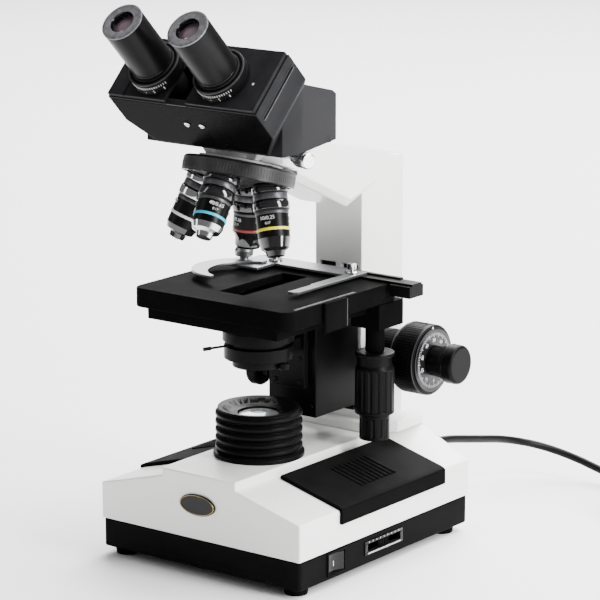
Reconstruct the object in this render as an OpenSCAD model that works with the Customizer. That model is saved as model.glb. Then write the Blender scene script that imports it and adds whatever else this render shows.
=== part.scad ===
// Binocular compound microscope with a tilted four-place nosepiece, a two-layer
// mechanical stage, a substage condenser and a lamp in the base.
// +Z is up, the observer sits on the -Y side, and the origin is the middle of
// the base's footprint on the table.

/* [Base] */
// Width of the painted base cover
base_w = 180; // [176:1:186]
// Depth of the painted base cover
base_d = 208; // [204:1:214]
// Height of the raised deck above the table
deck_z = 75; // [74:0.5:76]
// Height of the cover's outer edges above the table
edge_z = 54; // [52:1:56]
// Half width of the raised deck
deck_half = 33.5; // [32:0.5:35]

/* [Optics] */
// Distance of the optical axis behind the middle of the base
axis_y = -34; // [-35:0.5:-33]
// Lean of the nosepiece from the vertical
turret_tilt = 17; // [16:0.5:18]
// Radius of the circle of objective seats
seat_r = 24; // [23:0.5:25]
// Turn of the nosepiece away from its click stop
turret_turn = 13; // [0:1:20]
// Distance between the two eyepiece axes
eye_spacing = 57; // [56:1:60]

/* [Stage] */
// Height of the stage surface above the table
stage_z = 199; // [198:0.5:200]
// Width of the stage plate
stage_w = 140; // [136:1:142]

/* [Cord] */
// Diameter of the mains lead
cord_d = 6; // [5:0.5:7]

/* [Hidden] */
$fn = 64;
e = 0.3;
wall = 3;
cover_z = 27;
tray_z = 6;
shoulder_z = 69;
stage_front = -91.5;
stage_back = 41.5;
seat_z = 281;
seat_y = axis_y - seat_r * cos(turret_tilt);
head_y = -119.5;
head_z = 340;
focus_y = 78;
focus_z = 133;
coax = [55, 32];
arm_top = 302;
slope = (shoulder_z - edge_z) / (base_w / 2 - deck_half);

// Route of the lead from its strain relief to the coil, and from the coil to the plug
run_pts = [[50, 122, 57.6], [50, 134, 56], [50, 146, 53.6], [50, 158, 50.9],
           [50, 170, 48.2], [50, 182, 45.5], [50, 194, 42.8], [50.2, 206, 40],
           [51.5, 217.5, 37], [54.8, 228.5, 33.8], [60.5, 238.5, 30.4], [68.5, 247, 26.7],
           [78.5, 253.6, 22.7], [90, 258.2, 18.5], [102.2, 260.8, 14.3], [114.8, 261.8, 10.6],
           [127.4, 261.4, 7.4], [140, 260.2, 5], [152.4, 258.6, 3.5], [164.6, 257, 3],
           [176.8, 255.8, 3], [189, 255.2, 3]];
tail_pts = [[239, 207, 20.5], [239, 197, 18.2], [239, 187, 14.2], [239, 177, 10],
            [239, 170, 8]];
coil_at = [201, 217];
coil_r = 32.5;
coil_band = 18;

// Helpers -------------------------------------------------------------------

module round_slab(w, d, r, z0, z1) {
  translate([0, 0, z0])
    linear_extrude(z1 - z0)
      offset(r) square([w - 2 * r, d - 2 * r], center = true);
}

module box(a, b) {
  translate(a) cube(b - a);
}

// A turned body: profile points are [radius, height]
module turned(points) {
  rotate_extrude($fn = 96) polygon(points);
}

module on_axis() {
  translate([0, axis_y, 0]) children();
}

// The nosepiece's own frame, with its axis along local Z
module turret_frame() {
  translate([0, seat_y, seat_z]) rotate([-turret_tilt, 0, 0]) children();
}

// Frame of one objective, its axis running down local -Z from its seat
module objective_frame(place) {
  turret_frame()
    rotate([0, 0, 90 * place + turret_turn])
      translate([seat_r, 0, 0]) rotate([0, -turret_tilt, 0]) children();
}

// Frame of the head's sloping top: X across, Y up the slope, Z along the eyepieces
module head_frame() {
  translate([0, head_y, head_z]) rotate([45, 0, 0]) children();
}

module tube_frame(side) {
  head_frame() translate([side * eye_spacing / 2, 22, 0]) children();
}

module across(y, z) {
  translate([0, y, z]) rotate([0, 90, 0]) children();
}

// Points of one ring round a route point, square to the route there
function unit(v) = v / norm(v);
function along(p, i) = unit(p[min(i + 1, len(p) - 1)] - p[max(i - 1, 0)]);
function aside(t) = unit(cross(t, [0, 0, 1]));
function ring(p, i, r, n) =
  let (t = along(p, i), s = aside(t), u = cross(s, t))
  [for (k = [0:n - 1]) p[i] + r * (cos(360 * k / n) * s + sin(360 * k / n) * u)];

module swept(p, d, n = 8) {
  last = len(p) - 1;
  pts = [for (i = [0:last]) for (q = ring(p, i, d / 2, n)) q];
  sides = [for (i = [0:last - 1]) for (k = [0:n - 1])
    [i * n + k, i * n + (k + 1) % n, (i + 1) * n + (k + 1) % n, (i + 1) * n + k]];
  start = [for (k = [n - 1:-1:0]) k];
  end = [for (k = [0:n - 1]) last * n + k];
  polyhedron(pts, concat([start, end], sides), convexity = 4);
}

// Base ----------------------------------------------------------------------

module base_tray() {
  color("#1c1c1e") difference() {
    round_slab(base_w - 1.6, base_d - 1.6, 3, tray_z, cover_z);
    round_slab(base_w - 8, base_d - 8, 1, tray_z + wall, cover_z + 1);
    // Rocker switch opening and dimmer slot in the right wall
    box([80, -70, 10], [92, -52, 24.5]);
    box([80, -24, 15], [92, 16, 21]);
    // Fuse holder
    translate([-40, 95, 16]) rotate([-90, 0, 0]) cylinder(r = 6, h = 12);
  }
}

module feet() {
  color("#101012")
    for (x = [-77, 77], y = [-91, 88])
      translate([x, y, 0]) cylinder(r1 = 8, r2 = 9, h = tray_z);
}

module cover_profile(t, z0) {
  h = base_w / 2 - t;
  polygon([[-h, z0], [-h, edge_z - t], [-deck_half + t, shoulder_z - t],
           [-deck_half + t, deck_z - t], [deck_half - t, deck_z - t],
           [deck_half - t, shoulder_z - t], [h, edge_z - t], [h, z0]]);
}

// Shoulder that rises towards the foot of the column
module rear_shoulder() {
  outer = base_w / 2;
  hull() {
    translate([0, 70.2, 0]) rotate([90, 0, 0]) linear_extrude(0.2)
      polygon([[30, 66], [deck_half, shoulder_z], [outer, edge_z], [outer - 2, edge_z - 1]]);
    translate([0, base_d / 2, 0]) rotate([90, 0, 0]) linear_extrude(0.2)
      polygon([[30, 66], [30, deck_z], [48, deck_z], [outer, edge_z], [outer - 2, edge_z - 1]]);
  }
}

module base_cover() {
  color("#dcdcd8") difference() {
    union() {
      translate([0, base_d / 2, 0]) rotate([90, 0, 0])
        linear_extrude(base_d) cover_profile(0, cover_z);
      rear_shoulder();
      mirror([1, 0, 0]) rear_shoulder();
    }
    translate([0, base_d / 2 - wall, 0]) rotate([90, 0, 0])
      linear_extrude(base_d - 2 * wall) cover_profile(wall, cover_z - 1);
    on_axis() translate([0, 0, 60]) cylinder(r = 24, h = 20);
    // Cord gland
    translate([50, 95, 58]) rotate([-90, 0, 0]) cylinder(r = 5, h = 12);
  }
}

// Rubber pad on one sloping shoulder, with a lip over the side of the cover
module pad() {
  inner = 37;
  outer = base_w / 2;
  top = function (x) shoulder_z - slope * (x - deck_half);
  translate([0, 70, 0]) rotate([90, 0, 0]) linear_extrude(128)
    polygon([[inner, top(inner)], [outer, edge_z], [outer, 44], [outer + 2.5, 44],
             [outer + 2.5, edge_z + 1.5], [outer - 1, edge_z + 3.2],
             [inner + 1, top(inner) + 3]]);
}

module pad_right() {
  color("#202022") pad();
}

module pad_left() {
  color("#202022") mirror([1, 0, 0]) pad();
}

module badge() {
  color("#17120c")
    translate([0, -base_d / 2, 53]) rotate([90, 0, 0])
      linear_extrude(1.6) scale([2.05, 1]) circle(r = 7.8);
}

module power_switch() {
  color("#111111") translate([84, -61, 17.2])
    linear_extrude(13.6, center = true)
      polygon([[0, -8.2], [4.6, -8.2], [3.6, 0], [6.4, 8.2], [0, 8.2]]);
}

module dimmer_slider() {
  color("#2a2a2c") {
    box([82, -9, 15.6], [88.6, 3, 20.4]);
    for (k = [0:3]) box([88, -8 + 3 * k, 15.6], [89.6, -6.6 + 3 * k, 20.4]);
  }
}

module lamp_house() {
  ribs = [for (k = [0:4]) each [[29, 79 + 6 * k], [31.5, 81 + 6 * k],
                                [31.5, 83 + 6 * k], [29, 84.8 + 6 * k]]];
  color("#141416") on_axis()
    turned(concat([[17, deck_z], [33, deck_z], [33, 78]], ribs,
                  [[30, 110.5], [27.5, 110.5], [20, 106], [15.3, 106],
                   [15.3, 101], [13, 101], [13, 80], [17, 78]]));
}

module field_lens() {
  color("#9aa3aa") on_axis()
    turned([[0, 101.2], [15, 101.2], [15, 104.6], [12, 105.6], [7, 106.4], [0, 106.8]]);
}

module lamp_socket() {
  color("#d8d4c8") on_axis() difference() {
    translate([0, 0, tray_z + wall]) cylinder(r = 11, h = 43);
    translate([0, 0, 46]) cylinder(r = 5, h = 7);
  }
}

module lamp_bulb() {
  color("#e8e6d0") on_axis() {
    translate([0, 0, 46.2]) cylinder(r = 4.7, h = 10);
    turned([[0, 56], [4.7, 56], [5.5, 60], [5.5, 66], [3.5, 70], [0, 71]]);
  }
}

module transformer() {
  color("#7a4a2a") {
    box([-70, 10, 9], [-20, 60, 46]);
    box([-60, 4, 14], [-30, 66, 41]);
  }
}

module circuit_board() {
  color("#2f6b3a") {
    box([14, -70, 12], [74, -10, 13.6]);
    box([22, -62, 13.6], [34, -46, 26]);
    for (k = [0:2]) translate([48 + 9 * k, -30, 13.6]) cylinder(r = 3.5, h = 12);
  }
  color("#2f6b3a")
    for (x = [18, 70], y = [-66, -14])
      translate([x, y, 9]) cylinder(r = 2.5, h = 3);
}

module fuse_holder() {
  color("#161616") translate([-40, 96, 16]) rotate([-90, 0, 0]) {
    translate([0, 0, -24]) cylinder(r = 5.6, h = 30);
    translate([0, 0, 6]) cylinder(r = 7.5, h = 3.5);
  }
}

module strain_relief() {
  color("#151517") translate([50, 0, 58]) rotate([-90, 0, 0]) {
    translate([0, 0, 98]) cylinder(r = 4.7, h = 7);
    translate([0, 0, base_d / 2]) cylinder(r = 7, h = 3);
    translate([0, 0, 107]) cylinder(r1 = 5.6, r2 = 3.6, h = 15);
  }
}

module cord_run() {
  color("#121214") swept(run_pts, cord_d);
}

module cord_tail() {
  color("#121214") swept(tail_pts, cord_d);
}

module cord_coil() {
  color("#121214") translate([coil_at.x, coil_at.y, 0])
    rotate_extrude() translate([coil_r - coil_band / 2, 0]) square([coil_band, 24]);
}

// Two flat blades and a round earth pin
module mains_plug() {
  color("#161618") translate([239, 12, 8]) rotate([90, 0, 0]) {
    translate([0, 0, -158]) cylinder(r1 = 4.2, r2 = 6, h = 14);
    translate([0, 0, -144]) cylinder(r = 8, h = 8);
    translate([0, 0, -136]) cylinder(r = 8, h = 22);
    translate([-11, -7, -136]) cube([22, 12, 22]);
  }
  color("#c8c8ca") {
    for (x = [232.6, 243.8]) box([x, 110, 5], [x + 1.6, 126.5, 11]);
    translate([239, 108, 3.4]) rotate([-90, 0, 0]) cylinder(r = 2.2, h = 18.5);
  }
}

// Stand ---------------------------------------------------------------------

module nose_side(half, lift) {
  translate([half, 0, 0]) rotate([90, 0, -90]) mirror([1, 0, 0])
    linear_extrude(2 * half)
      polygon([[-66, arm_top], [-66, 296 + lift], [43, 246.5 + lift], [57, 260 + lift],
               [84, 262 + lift], [102, 279], [0, arm_top]]);
}

module arm() {
  color("#dededa") difference() {
    union() {
      // Column, narrower at the front
      translate([0, 0, deck_z]) linear_extrude(279 - deck_z)
        polygon([[-21, 62], [21, 62], [31, 100], [28, 103.5], [-28, 103.5], [-31, 100]]);
      // Stepped collar on the base
      translate([0, 0, deck_z]) linear_extrude(8)
        polygon([[-28, 54], [28, 54], [48, 72], [48, 103.9], [-48, 103.9], [-48, 72]]);
      hull() {
        nose_side(21, 0);
        nose_side(26, 6);
      }
      on_axis() translate([0, 0, 288]) cylinder(r = 36, h = arm_top - 288);
    }
    // Room for the nosepiece
    turret_frame() translate([0, 0, -30]) cylinder(r = 42, h = 42.2);
    // Seat of the head
    on_axis() translate([0, 0, 296]) cylinder(r = 24.3, h = 10);
    on_axis() translate([0, 0, 250]) cylinder(r = 10, h = 60);
    // Shaft bore and hollow inside
    across(focus_y, focus_z) cylinder(r = 8, h = 90, center = true);
    for (z = [[84, 34], [148, 118]]) translate([0, 0, z[0]]) linear_extrude(z[1])
      polygon([[-15, 68], [15, 68], [24, 98], [-24, 98]]);
    translate([-15, 0, 0]) rotate([90, 0, 90]) linear_extrude(30)
      polygon([[26, 266], [80, 262], [80, 277], [26, 289]]);
    // Two slots above the focus guide, and the head screw's thread
    box([-17, 61, 193], [-3, 66, 199]);
    box([3, 61, 193], [17, 66, 199]);
    translate([0, axis_y, 299]) rotate([0, 90, -20]) cylinder(r = 2.2, h = 40);
  }
}

module focus_guide() {
  color("#1a1a1c") {
    box([-17, 58, 90], [17, 62, 182]);
    box([-7, 48, 90], [7, 58, 182]);
  }
}

module focus_slide() {
  color("#161618") difference() {
    union() {
      box([-21.5, 5.6, 96], [21.5, 57.5, 172]);
      box([-34, -5, 172], [34, 57.5, 177]);
    }
    box([-7.4, 47.6, 90], [7.4, 60, 180]);
    box([-16, 19, 90], [16, 42, 166]);
    // Pinion bore of the condenser drive
    across(14, 122) translate([0, 0, -22]) cylinder(r = 3.05, h = 14);
  }
}

module tension_collar() {
  color("#1a1a1c") across(focus_y, focus_z) difference() {
    translate([0, 0, 32]) cylinder(r = 18, h = 19);
    translate([0, 0, 31]) cylinder(r = 8.3, h = 22);
  }
}

module fixed_collar() {
  color("#1a1a1c") mirror([1, 0, 0]) across(focus_y, focus_z) difference() {
    translate([0, 0, 32]) cylinder(r = 18, h = 19);
    translate([0, 0, 31]) cylinder(r = 8.3, h = 22);
  }
}

module coarse_side() {
  across(focus_y, focus_z)
    turned([[4.05, 0], [7.95, 0], [7.95, 51.4], [24, 51.4], [26, 54], [26, 72],
            [25.2, 74], [4.05, 74]]);
}

module coarse_knobs() {
  color("#151517") {
    coarse_side();
    mirror([1, 0, 0]) coarse_side();
  }
}

module fine_side() {
  across(focus_y, focus_z)
    turned([[0, 0], [4, 0], [4, 75.4], [11, 75.4], [11.5, 82], [12.5, 87], [14.5, 90],
            [14.5, 98], [13, 99.5], [0, 99.5]]);
}

module fine_knobs() {
  color("#18181a") {
    fine_side();
    mirror([1, 0, 0]) fine_side();
  }
}

module focus_dial() {
  color("#b9babc") across(focus_y, focus_z)
    turned([[11.2, 74.3], [23.5, 74.3], [23.5, 75], [22.5, 75.3], [11.2, 75.3]]);
}

// Stage ---------------------------------------------------------------------

module stage_lower() {
  color("#17171a") {
    difference() {
      union() {
        box([-58, -88, 177], [58, 41, 184.7]);
        box([44, 17, 166], [69.5, 47, 184.7]);
      }
      on_axis() translate([0, 0, 170]) cylinder(r = 27, h = 20);
      translate([coax.x, coax.y, 150]) cylinder(r = 5.9, h = 40);
    }
    // Housing tube of the two coaxial shafts
    translate([coax.x, coax.y, 0])
      turned([[3.3, 146.5], [7, 146.5], [7, 166.2], [5.9, 166.2], [5.9, 184.7], [3.3, 184.7]]);
  }
}

module stage_upper() {
  half = stage_w / 2;
  color("#1b1b1e") difference() {
    translate([0, (stage_front + stage_back) / 2, 0])
      round_slab(stage_w, stage_back - stage_front, 9, stage_z - 14, stage_z);
    box([-half + 5, stage_front + 5, stage_z - 15], [half - 5, stage_back - 5, stage_z - 6]);
    box([-12, -64, stage_z - 10], [10, 10, stage_z + 1]);
  }
}

module stage_knob_y() {
  color("#141416") translate([coax.x, coax.y, 0]) difference() {
    turned([[3.3, 100.4], [11.5, 100.4], [14.3, 103], [14.3, 134], [12.6, 137],
            [12.6, 146], [3.3, 146]]);
    for (k = [0:15]) rotate(k * 22.5) translate([15, 0, 99]) cylinder(r = 1.5, h = 34, $fn = 20);
  }
}

module stage_knob_x() {
  color("#141416") translate([coax.x, coax.y, 0]) difference() {
    turned([[0, 81], [9.5, 81], [11, 83], [11, 100], [3.25, 100], [3.25, 184], [0, 184]]);
    for (k = [0:11]) rotate(k * 30) translate([11.7, 0, 80]) cylinder(r = 1.4, h = 17, $fn = 20);
  }
}

module x_rail() {
  color("#131315") {
    box([-52, 27, 199.4], [91, 39, 201]);
    box([73, 24, 191], [91, 41, 199.4]);
    box([-52, 35, 201], [75, 39, 202.4]);
  }
}

// Fixed jaw and cross bar of the slide holder
module slide_holder() {
  color("#a9abad") translate([0, 0, 201]) linear_extrude(2)
    polygon([[-52, 34.7], [46, 34.7], [46, -47], [43, -50], [38.5, -50], [38.5, -24],
             [37, -21], [37, 18], [-26, 18], [-26, -2], [-52, -2]]);
}

module holder_screws() {
  color("#d8d8da")
    for (p = [[-30, 25], [39, 25]]) translate([p.x, p.y, 203]) {
      cylinder(r = 2, h = 3);
      translate([0, 0, 3]) cylinder(r = 3.4, h = 4.5);
    }
}

// Crescent finger with its round grip, swinging about the grip's screw
module slide_finger() {
  color("#b4b6b8") {
    translate([0, 0, 203.3]) linear_extrude(1.8) difference() {
      union() {
        translate([-32, -18]) circle(r = 33);
        translate([-46, 8]) circle(r = 8);
      }
      translate([-20, -19]) circle(r = 30);
      translate([-30, -60]) square([70, 84]);
      translate([-60, 17]) square([80, 40]);
    }
    translate([-46, 8, 205.1]) turned([[0, 0], [3.2, 0], [3.2, 2], [6.5, 3], [7, 7],
                                       [5.5, 9.5], [0, 10.5]]);
  }
}

// Substage ------------------------------------------------------------------

module condenser_carrier() {
  color("#151517") difference() {
    union() {
      on_axis() translate([0, 0, 147]) cylinder(r = 25, h = 9.5);
      box([-12, -12, 147], [12, 2, 156.5]);
      box([-15, 0, 118], [15, 5.3, 166]);
      // Pin of the filter tray
      translate([23, axis_y, 140]) cylinder(r = 1.5, h = 8);
    }
    on_axis() translate([0, 0, 140]) cylinder(r = 19.3, h = 20);
  }
}

module condenser() {
  color("#141416") on_axis()
    turned([[11, 146], [19, 146], [19, 157], [16.5, 157], [16.5, 160], [26, 160],
            [26, 167], [24, 170.5], [17, 172], [14, 180], [11, 180]]);
}

module condenser_lens() {
  color("#aab4ba") on_axis()
    turned([[0, 147], [10.8, 147], [10.8, 178], [8, 181.5], [0, 182.5]]);
}

module iris_lever() {
  color("#1c1c1e") on_axis() {
    translate([0, 0, 157.2]) difference() {
      cylinder(r = 22, h = 2.5);
      translate([0, 0, -1]) cylinder(r = 16.8, h = 5);
    }
    translate([0, 0, 158.4]) rotate([90, 0, -20]) translate([0, 0, 20]) {
      cylinder(r = 0.9, h = 24);
      translate([0, 0, 20]) cylinder(r = 1.4, h = 6);
    }
  }
}

module filter_tray() {
  color("#141416") on_axis() difference() {
    union() {
      translate([0, 0, 141]) cylinder(r = 19, h = 4.5);
      translate([23, 0, 141]) cylinder(r = 3.5, h = 4.5);
    }
    translate([0, 0, 142.5]) cylinder(r = 16.5, h = 4);
    translate([0, 0, 140]) cylinder(r = 14.5, h = 4);
    translate([23, 0, 140]) cylinder(r = 1.56, h = 8);
  }
}

module condenser_knob() {
  color("#161618") mirror([1, 0, 0]) across(14, 122)
    turned([[0, 8.2], [3, 8.2], [3, 25], [5.5, 25], [5.5, 32], [10, 32], [10.8, 33.5],
            [10.8, 40.5], [10, 42], [0, 42]]);
}

// Nosepiece and objectives ----------------------------------------------------

module nosepiece_mount() {
  color("#d6d6d2") turret_frame() {
    turned([[0, 10.4], [30, 10.4], [30, 12], [0, 12]]);
    translate([0, 0, 4]) cylinder(r = 5, h = 7);
  }
}

module turret() {
  color("#2b2b2d") difference() {
    turret_frame() turned([[5.05, -7], [10, -5], [38, 3 * seat_r / 24 - 3], [40, -1.6],
                           [40, 8.5], [38.5, 10], [5.05, 10]]);
    for (k = [0:3]) objective_frame(k) {
      translate([0, 0, -9]) cylinder(r = 10.1, h = 40);
      translate([0, 0, -13.4]) cylinder(r = 13, h = 12);
    }
  }
}

// An objective's body: profile of radius against distance below its seat
module objective(place, tip) {
  objective_frame(place) mirror([0, 0, 1])
    turned(concat([[0, -2.5], [10, -2.5], [10, 1.4], [12, 1.6], [12.6, 3], [12.6, 8],
                   [11.8, 9.5], [11.8, 13], [12.6, 14.5], [12.6, 20], [11.6, 21.5]], tip));
}

module objective_low() {
  color("#17171a") objective(1, [[11.6, 36], [9.5, 40], [9.5, 46], [8, 47.9], [0, 47.9]]);
}

module objective_mid() {
  color("#17171a") objective(0, [[11.2, 40], [9.6, 47], [7, 49], [6, 52.6], [0, 53.6]]);
}

module objective_high() {
  color("#17171a") objective(3, [[11.2, 40], [9.6, 44], [6, 45.5], [5.2, 49], [0, 49.9]]);
}

module objective_oil() {
  color("#c9cacc") objective(2, [[11.2, 42], [9.6, 46], [6, 47.5], [5.2, 51], [0, 52]]);
}

// Head ------------------------------------------------------------------------

module head_mount() {
  color("#b8b8ba") on_axis() translate([0, 0, 296.3]) difference() {
    cylinder(r = 24, h = 8.7);
    translate([0, 0, -1]) cylinder(r = 13, h = 12);
  }
}

module head_block() {
  head_frame() rotate([-90, 0, 0]) linear_extrude(51.6)
    polygon([[-65, 0], [65, 0], [65, 27], [49, 50], [49, 100], [-49, 100], [-49, 50],
             [-65, 27]]);
}

// Prism housing behind the sloping block, narrowing to the rear
module head_rear() {
  intersection() {
    translate([65, 0, 0]) rotate([90, 0, -90]) mirror([1, 0, 0]) linear_extrude(130)
      polygon([[-84, 305], [-2, 305], [-2, 338], [-8, 341], [-56, 352], [-84, 352]]);
    linear_extrude(400)
      polygon([[-60, -90], [60, -90], [60, -62], [45, -2], [-45, -2], [-60, -62]]);
  }
}

module head_body() {
  color("#2c2c2f") difference() {
    intersection() {
      union() {
        head_block();
        head_rear();
      }
      box([-80, -160, 305], [80, 2, 400]);
    }
    // Slot along each end, well in the top between the tubes, and the prism room
    for (s = [-1, 1])
      head_frame() translate([s * 65, 26, -9]) cube([4, 44, 2.2], center = true);
    head_frame() translate([0, 25, 0]) cube([112, 40, 30], center = true);
    head_frame() translate([0, 25.5, -30]) cube([86, 40, 32], center = true);
    box([-30, -62, 309], [30, -20, 334]);
    on_axis() translate([0, 0, 300]) cylinder(r = 13, h = 12);
    for (s = [-1, 1]) head_frame() translate([6.5 * s, -1, -22]) rotate([-90, 0, 0])
      cylinder(r = 2.6, h = 2);
  }
  // Screw heads in the front face
  color("#cfcfd1")
    for (s = [-1, 1]) head_frame() translate([6.5 * s, -0.4, -22]) rotate([-90, 0, 0])
      cylinder(r = 2.6, h = 1.6);
}

module prism_block() {
  color("#b9c6c9") translate([-20, 0, 0]) rotate([90, 0, 90]) linear_extrude(40)
    polygon([[-56, 309.2], [-24, 309.2], [-24, 331]]);
}

module head_lock() {
  color("#cfcfd1") translate([0, axis_y, 299]) rotate([0, 90, -20]) difference() {
    translate([0, 0, 27]) turned([[0, 0], [2, 0], [2, 18], [3.6, 20], [3.6, 25],
                                  [5.6, 26], [5.6, 38], [4.8, 39], [0, 39]]);
    for (k = [0:23]) rotate(k * 15) translate([5.9, 0, 54]) cylinder(r = 0.5, h = 10, $fn = 16);
  }
}

// Sliding top plate with its eyepiece tube
module tube(side, inner, outer) {
  head_frame() difference() {
    translate([side > 0 ? inner : -outer, 0.6, e]) cube([outer - inner, 50.6, 3]);
    translate([side * eye_spacing / 2, 22, -5]) cylinder(r = 11.8, h = 20);
    if (side < 0) translate([-50, -1, e + 2]) cube([1.6, 54, 2]);
  }
  tube_frame(side)
    turned([[11.8, -13], [14, -13], [14, 3.2], [16, 3.2], [16, 14.6], [11.8, 14.6]]);
}

module tube_left() {
  color("#242427") tube(-1, 13, 64);
}

module tube_right() {
  color("#242427") tube(1, 5, 64);
}

module diopter(side) {
  tube_frame(side)
    turned([[16.3, 3.7], [19.2, 3.7], [19.2, 11.5], [18.4, 14], [16.3, 14]]);
}

module diopter_left() {
  color("#1d1d20") diopter(-1);
}

module diopter_right() {
  color("#1d1d20") diopter(1);
}

module eyepiece(side) {
  tube_frame(side)
    turned([[11.5, -8], [11.5, 14.9], [15, 14.9], [15, 57.5], [14, 59.5], [12.6, 59.5],
            [9.2, 58], [9.2, 50], [9.8, 50], [9.8, -8]]);
}

module eyepiece_left() {
  color("#19191b") eyepiece(-1);
}

module eyepiece_right() {
  color("#19191b") eyepiece(1);
}

module eye_lens(side) {
  tube_frame(side) turned([[0, 50.2], [9.1, 50.2], [9.1, 54.6], [5, 55.8], [0, 56.2]]);
}

module eye_lens_left() {
  color("#a8929a") eye_lens(-1);
}

module eye_lens_right() {
  color("#a8929a") eye_lens(1);
}

base_tray();
feet();
base_cover();
pad_left();
pad_right();
badge();
power_switch();
dimmer_slider();
lamp_house();
field_lens();
lamp_socket();
lamp_bulb();
transformer();
circuit_board();
fuse_holder();
strain_relief();
cord_run();
cord_coil();
cord_tail();
mains_plug();
arm();
focus_guide();
tension_collar();
fixed_collar();
coarse_knobs();
fine_knobs();
focus_dial();
focus_slide();
stage_lower();
stage_upper();
stage_knob_y();
stage_knob_x();
x_rail();
slide_holder();
holder_screws();
slide_finger();
condenser_carrier();
condenser();
condenser_lens();
iris_lever();
filter_tray();
condenser_knob();
nosepiece_mount();
turret();
objective_low();
objective_mid();
objective_high();
objective_oil();
head_mount();
head_body();
head_lock();
prism_block();
tube_left();
tube_right();
diopter_left();
diopter_right();
eyepiece_left();
eyepiece_right();
eye_lens_left();
eye_lens_right();
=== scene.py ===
"""A binocular compound microscope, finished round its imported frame.

Every length is in metres and in the frame of the design: the observer sits on
the -Y side, and the origin is the middle of the base's footprint on the table.
"""
import logging
import math
from dataclasses import dataclass
from enum import Enum
from typing import Sequence, Union

import bmesh
import bpy
from mathutils import Matrix, Vector


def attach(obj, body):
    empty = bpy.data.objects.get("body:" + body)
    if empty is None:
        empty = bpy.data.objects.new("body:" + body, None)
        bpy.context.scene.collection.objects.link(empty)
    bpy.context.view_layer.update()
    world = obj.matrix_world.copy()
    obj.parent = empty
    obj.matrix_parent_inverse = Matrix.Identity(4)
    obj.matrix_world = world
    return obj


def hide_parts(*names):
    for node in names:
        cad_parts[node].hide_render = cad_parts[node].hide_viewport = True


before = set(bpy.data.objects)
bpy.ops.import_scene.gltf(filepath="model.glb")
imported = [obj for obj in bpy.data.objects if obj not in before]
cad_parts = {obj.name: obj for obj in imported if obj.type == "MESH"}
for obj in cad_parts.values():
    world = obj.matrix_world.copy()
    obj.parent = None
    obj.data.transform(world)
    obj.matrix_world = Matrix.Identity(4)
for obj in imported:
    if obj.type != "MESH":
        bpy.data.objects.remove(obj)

LOG = logging.getLogger("microscope")
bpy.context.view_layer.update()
MM = 0.001
Point = tuple[float, float, float]
Profile = Sequence[tuple[float, float]]
Value = Union[float, tuple, str, bpy.types.NodeSocket]
NOISE = "ShaderNodeTexNoise"


# Node trees ------------------------------------------------------------------


def add_node(tree: bpy.types.NodeTree, kind: str, **inputs: Value) -> bpy.types.Node:
    """Add a node and fill in its inputs, linking the ones that are given a socket.

    Args:
        tree: The tree.
        kind: Type of the node.
        inputs: Value or source socket of each input, with _ for a space.

    Returns:
        The node.
    """
    made = tree.nodes.new(kind)
    for key, value in inputs.items():
        socket = made.inputs[key.replace("_", " ")]
        if isinstance(value, bpy.types.NodeSocket):
            tree.links.new(value, socket)
        else:
            socket.default_value = value
    return made


def compute(tree: bpy.types.NodeTree, operation: str,
            *values: bpy.types.NodeSocket) -> bpy.types.NodeSocket:
    """Add a math node on sockets and return its result."""
    made = tree.nodes.new("ShaderNodeMath")
    made.operation = operation
    for k, value in enumerate(values):
        tree.links.new(value, made.inputs[k])
    return made.outputs[0]


def object_place(tree: bpy.types.NodeTree) -> bpy.types.NodeSocket:
    """Return the object coordinates."""
    return tree.nodes.new("ShaderNodeTexCoord").outputs["Object"]


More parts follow.
